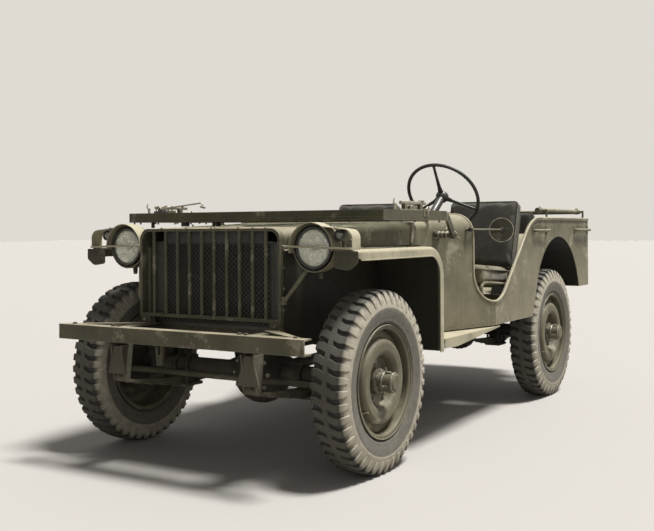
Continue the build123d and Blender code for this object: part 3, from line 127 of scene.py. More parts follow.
def add_node(
    tree: bpy.types.NodeTree, kind: str, inputs: dict[int | str, Any] | None = None, **settings: Any
) -> Node:
    """Add a node to a tree with its settings and links.

    Args:
        tree: The shader or geometry tree.
        kind: The node's type name, without "ShaderNode" for one of those.
        inputs: Values, output sockets or whole nodes for its inputs, by name or place.
        **settings: The node's own properties.

    Returns:
        The new node.
    """
    made = tree.nodes.new(kind if "Node" in kind else f"ShaderNode{kind}")
    for key, value in settings.items():
        setattr(made, key, value)
    for key, value in (inputs or {}).items():
        if isinstance(value, Node):
            value = next(socket for socket in value.outputs if socket.enabled)
        if isinstance(value, bpy.types.NodeSocket):
            tree.links.new(value, made.inputs[key])
        else:
            made.inputs[key].default_value = value
    return made


# Finishes


@dataclass(frozen=True)
class Finish:
    """A surface's finish, made as one material."""

    name: str
    slot: str
    # Millimetres between the features of each noise, its detail and its roughness.
    NOISES: ClassVar[NoiseTable] = {}

    def material(self) -> bpy.types.Material:
        """Make the finish's material at its first use.

        Returns:
            The material.
        """
        found = bpy.data.materials.get(self.name)
        if found is None:
            found = bpy.data.materials.new(self.name)
            found.use_nodes = True
            tree = found.node_tree
            tree.nodes.clear()
            place = add_node(tree, "TexCoord").outputs["Object"]
            noise = {}
            for label, (apart, detail, rough) in self.NOISES.items():
                values = {"Vector": place, "Scale": per_metre(apart), "Detail": detail, "Roughness": rough}
                noise[label] = add_node(tree, "TexNoise", values)
            add_node(tree, "OutputMaterial", {"Surface": self.surface(tree, place, noise)})
        return found

    def surface(self, tree: bpy.types.NodeTree, place: bpy.types.NodeSocket, noise: Noises) -> Node:
        """Build the finish's shader.

        Args:
            tree: The material's tree.
            place: Object coordinates.
            noise: The finish's noises by name.

        Returns:
            The shader.
        """
        raise NotImplementedError


@dataclass(frozen=True)
class DrabPaint(Finish):
    """Flat military lacquer sprayed on pressed steel.

    The eye gets a chalky, uneven olive skin: paler where it is faded and dusty, with rain streaks,
    grime and painted shade darkening its crevices, rubbed edges and a faint orange peel.
    """

    base: str = "#545140"
    faded: str = "#6b6753"
    # Rain streaks, and the painted shade in crevices, take this colour.
    stain_and_shade: str = "#312f22"
    dust: str = "#a09780"
    worn: str = "#aaa38e"
    top_dust: float = 0.6
    low_dust: float = 0.3
    wear: float = 0.55
    scuffs: float = 0.4
    # How much crevices darken: grime with painted shade, found by ambient occlusion.
    grime: float = 0.85
    # Painted shade: faces under a fender within this half width, in metres, take the colour below; 0 paints
    # none.
    inside: float = 0.0
    under_shade: str = "#1d1c17"
    roughness: float = 0.5
    shine: float = 0.2
    grain_mm: float = 3.0
    bump: float = 0.05
    NOISES: ClassVar[NoiseTable] = {
        "broad": (210, 5.0, 0.62),
        "fine": (16, 4.0, 0.6),
        "torn": (150, 9.0, 0.78),
        "drift": (75, 5.0, 0.55),
    }

    def shaded_underneath(self, tree: bpy.types.NodeTree, facing: Node, height: Node) -> Node:
        """Mask the faces under a fender, which are turned down or to the wheel, for painted shade.

        Args:
            tree: The material's tree.
            facing: The surface's direction, split in three.
            height: Object coordinates, split in three.

        Returns:
            The mask.
        """
        far = add_node(tree, "Math", {0: height.outputs[0]}, operation="ABSOLUTE")
        side = add_node(tree, "Math", {0: height.outputs[0]}, operation="SIGN")
        outward = add_node(tree, "Math", {0: side, 1: facing.outputs[0]}, operation="MULTIPLY")
        # source, where none is shaded, where all is, and how much that is
        within, turned_down, to_wheel = (
            add_node(tree, "MapRange", {0: source, 1: none, 2: whole, 3: 0.0, 4: most})
            for source, none, whole, most in (
                (far, self.inside, self.inside - 0.02, 1.0),
                (facing.outputs[2], 0.7, 0.4, 0.94),
                (outward, -0.5, -0.2, 1.0),
            )
        )
        below = add_node(tree, "Math", {0: within, 1: turned_down}, operation="MULTIPLY")
        return add_node(tree, "Math", {0: below, 1: to_wheel}, operation="MULTIPLY")

    def surface(self, tree: bpy.types.NodeTree, place: bpy.types.NodeSocket, noise: Noises) -> Node:
        """Build the layers of paint, stain, dust, wear and painted shade.

        Args:
            tree: The material's tree.
            place: Object coordinates.
            noise: The finish's noises by name.

        Returns:
            The shader.
        """
        normal = add_node(tree, "NewGeometry").outputs["Normal"]
        facing = add_node(tree, "SeparateXYZ", {0: normal})
        height = add_node(tree, "SeparateXYZ", {0: place})
        stretched = add_node(tree, "Mapping", {"Vector": place, "Scale": (1.0, 1.0, 0.09)})
        rain = add_node(tree, "TexNoise", {"Vector": stretched, "Scale": per_metre(26), "Detail": 3.0})
        grain = per_metre(self.grain_mm)
        peel = add_node(tree, "TexNoise", {"Vector": place, "Scale": grain, "Detail": 2.0})
        open_sky = add_node(tree, "AmbientOcclusion", {"Distance": 0.045}, samples=4).outputs["AO"]
        eased = add_node(tree, "Bevel", {"Radius": 0.004}, samples=4)
        turned = add_node(tree, "VectorMath", {0: eased, 1: normal}, operation="DOT_PRODUCT")
        # name, source, its range, and the amounts at the range's ends
        span = {
            name: add_node(tree, "MapRange", {0: source, 1: start, 2: end, 3: least, 4: most})
            for name, source, start, end, least, most in (
                ("fade", noise["broad"], 0.38, 0.66, 0.0, 1.0),
                ("streak", rain, 0.52, 0.78, 0.0, 0.32),
                ("scuff", noise["torn"], 0.56, 0.63, 0.0, self.scuffs),
                # Painted shade, with grime, in the crevices that ambient occlusion finds.
                ("crevice_grime_and_shade", open_sky, 0.85, 0.3, 0.0, self.grime),
                ("upward", facing.outputs[2], 0.1, 0.95, 0.0, self.top_dust),
                ("low", height.outputs[2], 0.9, 0.35, 0.0, self.low_dust),
                ("patchy", noise["drift"], 0.3, 0.7, 0.5, 1.15),
                ("edge", turned, 0.97, 0.8, 0.0, 1.0),
                ("rubbed", noise["fine"], 0.36, 0.6, 0.25 * self.wear, self.wear),
                ("gloss", noise["fine"], 0.3, 0.7, self.roughness - 0.08, self.roughness + 0.14),
            )
        }
        both = add_node(tree, "Math", {0: span["upward"], 1: span["low"]}, operation="MAXIMUM")
        dusty = add_node(tree, "Math", {0: both, 1: span["patchy"]}, operation="MULTIPLY")
        worn = add_node(tree, "Math", {0: span["edge"], 1: span["rubbed"]}, operation="MULTIPLY")
        layers = [
            (span["fade"], self.faded),
            (span["streak"], self.stain_and_shade),
            (span["scuff"], self.worn),
            (span["crevice_grime_and_shade"], self.stain_and_shade),
            (dusty, self.dust),
            (worn, self.worn),
        ]
        # Painted shade on the faces under the fenders and in the wheel arches.
        if self.inside:
            layers.append((self.shaded_underneath(tree, facing, height), self.under_shade))
        colour: Any = linear(self.base)
        for mask, over in layers:
            colour = add_node(tree, "Mix", {0: mask, 6: colour, 7: linear(over)}, data_type="RGBA")
        dents = add_node(tree, "Math", {0: noise["broad"], 1: 6.0}, operation="MULTIPLY")
        relief = add_node(tree, "Math", {0: peel, 1: dents}, operation="ADD")
        values = {
            "Base Color": colour,
            "Roughness": span["gloss"],
            "Specular IOR Level": self.shine,
            "Normal": add_node(tree, "Bump", {"Strength": self.bump, "Distance": 0.004, "Height": relief}),
        }
        return add_node(tree, "BsdfPrincipled", values)


@dataclass(frozen=True)
class DustyRubber(Finish):
    """Moulded black rubber that carries road dust.

    The eye gets grey-black tread, darker in its grooves as painted shade, and pale dusty sidewalls with
    faint rings;
    the piece's own "dust" attribute says how much lies where.
    """

    rubber: str = "#262522"
    dust: str = "#9a9382"
    roughness: float = 0.86
    NOISES: ClassVar[NoiseTable] = {"broken": (30, 6.0, 0.68), "speck": (4, 3.0, 0.7)}

    def surface(self, tree: bpy.types.NodeTree, place: bpy.types.NodeSocket, noise: Noises) -> Node:
        """Build rubber under a broken coat of dust.

        Args:
            tree: The material's tree.
            place: Object coordinates.
            noise: The finish's noises by name.

        Returns:
            The shader.
        """
        lies = add_node(tree, "Attribute", attribute_name="dust").outputs["Fac"]
        patchy = add_node(tree, "MapRange", {0: noise["broken"], 1: 0.3, 2: 0.68, 3: 0.6, 4: 1.1})
        dusty = add_node(tree, "Math", {0: lies, 1: patchy}, operation="MULTIPLY", use_clamp=True)
        mixed = {0: dusty, 6: linear(self.rubber), 7: linear(self.dust)}
        bumped = {"Strength": 0.35, "Distance": 0.0015, "Height": noise["speck"]}
        values = {
            "Base Color": add_node(tree, "Mix", mixed, data_type="RGBA"),
            "Roughness": self.roughness,
            "Normal": add_node(tree, "Bump", bumped),
        }
        return add_node(tree, "BsdfPrincipled", values)


@dataclass(frozen=True)
class WornMetal(Finish):
    """Bare or plated steel, rubbed by use.

    The eye gets short soft highlights, darker grime in patches and fine scratches.
    """

    base: str = "#a09a8c"
    grime: str = "#4a453a"
    roughness: float = 0.38
    grime_amount: float = 0.5
    relief: float = 0.12
    NOISES: ClassVar[NoiseTable] = {"patch": (22, 5.0, 0.65), "scratch": (2.5, 2.0, 0.5)}

    def surface(self, tree: bpy.types.NodeTree, place: bpy.types.NodeSocket, noise: Noises) -> Node:
        """Build metal under patches of grime.

        Args:
            tree: The material's tree.
            place: Object coordinates.
            noise: The finish's noises by name.

        Returns:
            The shader.
        """
        grimy = {0: noise["patch"], 1: 0.4, 2: 0.66, 3: 0.0, 4: self.grime_amount}
        gloss = {0: noise["patch"], 1: 0.3, 2: 0.7, 3: self.roughness, 4: self.roughness + 0.25}
        mixed = {0: add_node(tree, "MapRange", grimy), 6: linear(self.base), 7: linear(self.grime)}
        scratched = {"Strength": self.relief, "Distance": 0.0006, "Height": noise["scratch"]}
        values = {
            "Base Color": add_node(tree, "Mix", mixed, data_type="RGBA"),
            "Metallic": 1.0,
            "Roughness": add_node(tree, "MapRange", gloss),
            "Normal": add_node(tree, "Bump", scratched),
        }
        return add_node(tree, "BsdfPrincipled", values)


@dataclass(frozen=True)
class Canvas(Finish):
    """Heavy cotton duck, woven and proofed.

    The eye gets a matt cloth with a plain weave, faded in patches and a soft sheen at its edges.
    The real threads are 1 mm apart; they are drawn 5 mm apart so that they show.
    """

    base: str = "#322f25"
    faded: str = "#4e4a3a"
    thread_mm: float = 4.93466
    tilt: float = 0.0
    NOISES: ClassVar[NoiseTable] = {"fade": (90, 5.0, 0.6)}

    def surface(self, tree: bpy.types.NodeTree, place: bpy.types.NodeSocket, noise: Noises) -> Node:
        """Build two crossed sets of threads over a faded ground.

        Args:
            tree: The material's tree.
            place: Object coordinates.
            noise: The finish's noises by name.

        Returns:
            The shader.
        """
        turned = add_node(tree, "Mapping", {"Vector": place, "Rotation": (self.tilt, 0.0, 0.0)})
        scale = WAVE_BAND * per_metre(self.thread_mm)
        warp, weft = (
            add_node(tree, "TexWave", {"Vector": turned, "Scale": scale}, bands_direction=way).outputs[1]
            for way in ("X", "Y")
        )
        weave = add_node(tree, "Math", {0: warp, 1: weft}, operation="MULTIPLY")
        fade = add_node(tree, "MapRange", {0: noise["fade"], 1: 0.38, 2: 0.66, 3: 0.0, 4: 0.85})
        mixed = {0: fade, 6: linear(self.base), 7: linear(self.faded)}
        ground = add_node(tree, "Mix", mixed, data_type="RGBA")
        shade = add_node(tree, "MapRange", {0: weave, 1: 0.0, 2: 1.0, 3: 0.9, 4: 1.06})
        values = {
            "Base Color": add_node(tree, "VectorMath", {0: ground, "Scale": shade}, operation="SCALE"),
            "Roughness": 0.9,
            "Sheen Weight": 0.12,
            "Sheen Roughness": 0.5,
            "Normal": add_node(tree, "Bump", {"Strength": 0.3, "Distance": 0.0008, "Height": weave}),
        }
        return add_node(tree, "BsdfPrincipled", values)


@dataclass(frozen=True)
class ClearGlass(Finish):
    """Rolled plate or pressed glass with road dust on it.

    The eye gets a clear pane, fluted in a lens, whose dust catches light in soft patches.
    """

    tint: str = "#dfe6e2"
    dust: str = "#aca798"
    dust_amount: float = 0.3
    roughness: float = 0.03
    flutes: float = 0.0
    flute_mm: float = 17.76477
    NOISES: ClassVar[NoiseTable] = {"patch": (60, 6.0, 0.7)}

    def surface(self, tree: bpy.types.NodeTree, place: bpy.types.NodeSocket, noise: Noises) -> Node:
        """Build fluted glass with a thin diffuse coat in patches.

        Args:
            tree: The material's tree.
            place: Object coordinates.
            noise: The finish's noises by name.

        Returns:
            The shader.
        """
        thin, thick = self.dust_amount * 0.4, self.dust_amount
        mask = add_node(tree, "MapRange", {0: noise["patch"], 1: 0.35, 2: 0.7, 3: thin, 4: thick})
        scale = WAVE_BAND * per_metre(self.flute_mm)
        ribs = add_node(tree, "TexWave", {"Vector": place, "Scale": scale}).outputs[1]
        values = {
            "Base Color": linear(self.tint),
            "Roughness": self.roughness,
            "IOR": 1.52,
            "Transmission Weight": 1.0,
            "Normal": add_node(tree, "Bump", {"Strength": self.flutes, "Distance": 0.001, "Height": ribs}),
        }
        glass = add_node(tree, "BsdfPrincipled", values)
        coat = add_node(tree, "BsdfPrincipled", {"Base Color": linear(self.dust), "Roughness": 0.9})
        return add_node(tree, "MixShader", {0: mask, 1: glass, 2: coat})


BODY_PAINT = DrabPaint("worn_olive_lacquer", "body_paint")
# Darker copy of the body's lacquer on the wheels: painted shade in their dished discs, with dust.
WHEEL_PAINT = DrabPaint(
    "dusty_wheel_lacquer_with_painted_shade", "body_paint", "#3f3d30", "#565240", top_dust=0.35, low_dust=0.2, wear=0.22
)
# Darker copy of the body's lacquer for the parts that face forward: painted shade.
FRONT_PAINT = DrabPaint("front_lacquer_with_painted_shade", "body_paint", "#3e3c2f", "#514e3d", low_dust=0.12)
# Lighter copy of the body's lacquer on beads, rolled edges and lamp guards: painted highlight, with rubbed
# wear.
EDGE_PAINT = DrabPaint("rubbed_edge_lacquer_with_painted_highlight", "body_paint", "#8d8871", "#a39c86", "#5f5b47", wear=0.3)
# Lighter copy of the body's lacquer on fenders and steps: painted sunlight, with dust, on their tops; faces
# under the fenders take painted shade.
FENDER_PAINT = DrabPaint(
    "dusty_fender_lacquer_with_painted_light_and_shade", "body_paint", "#837e69", "#9c967f",
    top_dust=0.85, low_dust=0.1, scuffs=0.5, inside=0.672,
)
# Body lacquer whose faces that turn down or to the wheel in the arches take painted shade.
WELL_PAINT = DrabPaint("arch_lacquer_with_painted_shade", "body_paint", inside=0.9)
CHASSIS_PAINT = DrabPaint(
    "grimy_chassis_lacquer", "chassis_paint", "#35332a", "#49463a", "#1d1c16", "#857d6c", "#7d7664",
    top_dust=0.4, low_dust=0.18, wear=0.5, roughness=0.7, bump=0.1,
)
CAST_IRON = DrabPaint(
    "oily_sand_cast_iron", "iron", "#2f2d29", "#403d37", "#191713", "#7a7263", "#68635a",
    top_dust=0.4, low_dust=0.16, wear=0.3, roughness=0.66, grain_mm=2.0, bump=0.22,
)
DARK_ENAMEL = DrabPaint(
    "stoved_black_enamel", "dark_metal", "#1f1e1b", "#2b2a26", "#121110", "#6d675a", "#57534b",
    top_dust=0.25, low_dust=0.2, wear=0.4, roughness=0.4, shine=0.5, bump=0.03,
)
HARD_RUBBER = DrabPaint(
    "moulded_hard_rubber", "plastic", "#1d1c1a", "#2a2825", "#121110", "#6b6558", "#4b4842",
    top_dust=0.22, low_dust=0.0, wear=0.25, roughness=0.42, shine=0.5, bump=0.02,
)
DIAL_PAINT = DrabPaint(
    "printed_dial_paint", "dark_metal", "#b9b39b", "#c9c3aa", "#8b866f", "#a8a08a",
    top_dust=0.1, low_dust=0.0, wear=0.0, bump=0.0,
)
RED_GLASS = DrabPaint(
    "moulded_red_lamp_glass", "lens", "#5e1710", "#7a2014", "#3a0d08", "#8a6a58",
    top_dust=0.15, low_dust=0.1, wear=0.0, roughness=0.18, shine=0.5, bump=0.0,
)
SOFT_RUBBER = DustyRubber("moulded_soft_rubber", "tyre", rubber="#23221f")
TYRE_RUBBER = DustyRubber("dusty_tyre_rubber", "tyre")
DARK_WIRE = WornMetal("blackened_steel_wire", "dark_metal", "#24231f", roughness=0.55, relief=0.0)
STEEL = WornMetal("rubbed_bare_steel", "dark_metal")
BRIGHT_STEEL = WornMetal(
    "polished_reflector_steel", "dark_metal", "#dddbd4", roughness=0.16, grime_amount=0.25, relief=0.0
)
GALVANISED = WornMetal("dull_zinc_plated_steel", "dark_metal", "#8e8a7e", roughness=0.5, grime_amount=0.6)
PANE = ClearGlass("dusty_plate_glass", "glass")
LENS = ClearGlass("pressed_lens_glass", "lens", "#eceee8", "#d2cec0", 0.14, roughness=0.04, flutes=0.5)
# The lighter duck on the cushions and the piping is painted light; the darker duck on the backs is painted
# shade.
SEAT_CANVAS = Canvas("woven_seat_duck_with_painted_light", "canvas", "#59543f", "#77705a")
BACK_CANVAS = Canvas("woven_back_duck_with_painted_shade", "canvas", "#27251d", "#3e3b30", tilt=math.radians(-72))
PIPING_CANVAS = Canvas("folded_piping_duck_with_painted_light", "canvas", "#4c4838", "#726b56")


# Mesh building


def rounded(points: Sequence[Point], radius: float | Sequence[float], steps: int = 6) -> list[Vector]:
    """Round the inner corners of a broken line.

    Args:
        points: The line's points.
        radius: One radius, or one for each inner corner.
        steps: Pieces that each corner's arc is made of.

    Returns:
        The rounded line's points.
    """
    line = [Vector(p) for p in points]
    radii = [radius] * (len(line) - 2) if isinstance(radius, (int, float)) else radius
    out = [line[0]]
    for before, corner, after, size in zip(line, line[1:], line[2:], radii):
        one, two = (before - corner).normalized(), (after - corner).normalized()
        half = one.angle(two) / 2
        if half > math.radians(89.5):
            out.append(corner)
            continue
        reach = min(size / math.tan(half), (before - corner).length, (after - corner).length)
        size = reach * math.tan(half)
        middle = corner + (one + two).normalized() * (size / math.sin(half))
        start, end = corner + one * reach - middle, corner + two * reach - middle
        sweep = start.angle(end)
        for i in range(steps + 1):
            t = i / steps
            arm = (start * math.sin((1 - t) * sweep) + end * math.sin(t * sweep)) / math.sin(sweep)
            out.append(middle + arm)
    out.append(line[-1])
    return out


def circle(radius: float, sides: int) -> list[tuple[float, float]]:
    """Points of a regular outline round the origin."""
    step = math.tau / sides
    return [(radius * math.cos(i * step), radius * math.sin(i * step)) for i in range(sides)]


def across(point: Point, side: int) -> Point:
    """Keep a point where the side is 1, or mirror it to the car's other side where it is -1."""
    return side * point[0], point[1], point[2]


class Shape:
    """A mesh in the making, in the car's millimetres. Each method that adds to it returns it."""

    def __init__(self) -> None:
        """Start with nothing."""
        self.mesh = bmesh.new()

    def skin(self, rings: Sequence[Sequence[Point]], loop: bool = False) -> "Shape":
        """Join closed rings of equal count with faces, and fill the two ends.

        Args:
            rings: The rings of points, in order.
            loop: Whether the last ring joins the first, which leaves no ends.

        Returns:
            The shape itself.
        """
        rows = [[self.mesh.verts.new(p) for p in ring] for ring in rings]
        count = len(rows[0])
        for low, high in zip(rows, rows[1:] + rows[:1] if loop else rows[1:]):
            for i in range(count):
                j = (i + 1) % count
                self.mesh.faces.new((low[i], low[j], high[j], high[i]))
        if not loop:
            self.mesh.faces.new(rows[0][::-1])
            self.mesh.faces.new(rows[-1])
        return self

    def rod(
        self, start: Point, end: Point, radius: float, sides: int = 12, end_radius: float | None = None
    ) -> "Shape":
        """Add a round or many-sided bar between two points.

        Args:
            start: The middle of its first end.
            end: The middle of its last end.
            radius: Its radius.
            sides: How many sides it has.
            end_radius: The radius of its last end, if that is another.

        Returns:
            The shape itself.
        """
        one, two = Vector(start), Vector(end)
        turn = (two - one).to_track_quat("Z", "Y")
        last = radius if end_radius is None else end_radius
        ends = ((one, radius), (two, last))
        return self.skin([[p + turn @ Vector((x, y, 0)) for x, y in circle(r, sides)] for p, r in ends])

    def tube(self, points: Sequence[Point], radius: float, sides: int = 10, loop: bool = False) -> "Shape":
        """Add a round tube along a line of points.

        Args:
            points: The line.
            radius: The tube's radius.
            sides: How many sides its section has.
            loop: Whether the line closes on itself.

        Returns:
            The shape itself.
        """
        line = [Vector(p) for p in points]
        count = len(line)
        up = Vector((0, 0, 1))
        rings = []
        side = None
        for i, place in enumerate(line):
            before = line[i - 1] if i or loop else line[i]
            after = line[(i + 1) % count] if i < count - 1 or loop else line[i]
            along = (after - before).normalized()
            if side is None:
                guide = up if abs(along.dot(up)) < 0.95 else Vector((1, 0, 0))
                side = guide.cross(along).normalized()
            side = (side - along * side.dot(along)).normalized()
            top = along.cross(side)
            rings.append([place + side * x + top * y for x, y in circle(radius, sides)])
        return self.skin(rings, loop)

    def lathe(
        self, profile: Profile, centre: Point = (0, 0, 0), axis: Point = (1, 0, 0), steps: int = 32
    ) -> "Shape":
        """Turn a closed profile about an axis.

        Args:
            profile: Its corners, as (along, radius).
            centre: The point from which "along" counts.
            axis: The axis's direction.
            steps: How many steps the turn has.

        Returns:
            The shape itself.
        """
        middle = Vector(centre)
        turn = Vector(axis).to_track_quat("Z", "Y")
        rings = []
        for i in range(steps):
            a = math.tau * i / steps
            rings.append([middle + turn @ Vector((r * math.cos(a), r * math.sin(a), t)) for t, r in profile])
        return self.skin(rings, loop=True)

    def slab(self, outline: Sequence[Point], push: Point) -> "Shape":
        """Add a flat outline given a thickness along a push."""
        ring = [Vector(p) for p in outline]
        return self.skin([ring, [p + Vector(push) for p in ring]])

    def box(self, x: Point, y: Point, z: Point) -> "Shape":
        """Add a box by its (low, high) ranges."""
        ring = [(x[0], y[0], z[0]), (x[1], y[0], z[0]), (x[1], y[1], z[0]), (x[0], y[1], z[0])]
        return self.slab(ring, (0, 0, z[1] - z[0]))

    def bolt(self, place: Point, axis: Point, across: float, height: float) -> "Shape":
        """Add a hexagon head on its washer.

        Args:
            place: Where it stands.
            axis: The direction it stands in.
            across: Its width.
            height: Its height.

        Returns:
            The shape itself.
        """
        foot, way = Vector(place), Vector(axis).normalized()
        self.rod(foot - way * 1, foot + way * 1.6, across * 0.62, 16)
        self.rod(foot + way * 1.5, foot + way * height, across * 0.55, 6)
        return self.rod(foot + way * height, foot + way * (height + 1.2), across * 0.5, 6, across * 0.4)

    def add_mesh(self, mesh: bpy.types.Mesh) -> "Shape":
        """Add a finished mesh and drop it.

        Args:
            mesh: The mesh, already in millimetres.

        Returns:
            The shape itself.
        """
        self.mesh.from_mesh(mesh)
        bpy.data.meshes.remove(mesh)
        return self

    def place(self, matrix: Matrix) -> "Shape":
        """Move all that is built so far."""
        self.mesh.transform(matrix)
        return self

    def mirrored(self) -> "Shape":
        """Add the mirror image on the car's other side.

        Returns:
            The shape itself.
        """
        whole = self.mesh.verts[:] + self.mesh.edges[:] + self.mesh.faces[:]
        copy = bmesh.ops.duplicate(self.mesh, geom=whole)
        verts = [g for g in copy["geom"] if isinstance(g, bmesh.types.BMVert)]
        bmesh.ops.scale(self.mesh, vec=(-1, 1, 1), verts=verts)
        return self

    def end(self, name: str, recalc: bool = True) -> bpy.types.Mesh:
        """End the making.

        Args:
            name: The mesh's name.
            recalc: Whether its faces are turned outwards here.

        Returns:
            The mesh.
        """
        if recalc:
            bmesh.ops.recalc_face_normals(self.mesh, faces=self.mesh.faces)
        mesh = bpy.data.meshes.new(name)
        self.mesh.to_mesh(mesh)
        self.mesh.free()
        return mesh

    def finish(
        self,
        name: str,
        finish: Finish,
        smooth: float = SMOOTH,
        body: Body = Body.CHASSIS,
        bevel: float = 0.0,
        recalc: bool = True,
    ) -> bpy.types.Object:
        """Make the piece's object in the frame and let it ride.

        Args:
            name: The piece's name.
            finish: The finish that covers it.
            smooth: Angle in degrees up to which faces shade as one.
            body: The body that it rides on.
            bevel: Width in millimetres of the bevel on its hard edges.
            recalc: Whether its faces are turned outwards here.

        Returns:
            The piece's object.
        """
        bmesh.ops.remove_doubles(self.mesh, verts=self.mesh.verts, dist=MERGE)
        mesh = self.end(name, recalc)
        mesh.transform(TO_FRAME)
        return settle(mesh, name, finish, smooth, body, bevel)


def settle(
    mesh: bpy.types.Mesh, name: str, finish: Finish, smooth: float, body: Body, bevel: float = 0.0
) -> bpy.types.Object:
    """Give a mesh in the frame its object, shading, finish and body.

    Args:
        mesh: The mesh, in metres of the frame.
        name: The piece's name.
        finish: The finish that covers it.
        smooth: Angle in degrees up to which faces shade as one.
        body: The body that it rides on.
        bevel: Width in millimetres of the bevel on its hard edges.

    Returns:
        The piece's object.
    """
    mesh.materials.clear()
    mesh.materials.append(finish.material())
    mesh.shade_smooth()
    mesh.set_sharp_from_angle(angle=math.radians(smooth))
    piece = bpy.data.objects.new(name, mesh)
    bpy.context.scene.collection.objects.link(piece)
    if bevel:
        soften = piece.modifiers.new("edges", "BEVEL")
        soften.width = bevel * METRE
        soften.segments = 2
        soften.limit_method = "ANGLE"
        soften.angle_limit = math.radians(SMOOTH)
    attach(piece, body.value)
    LOG.info("%s on %s: %d faces", name, body.value, len(mesh.polygons))
    return piece


# Things that repeat, made by geometry nodes


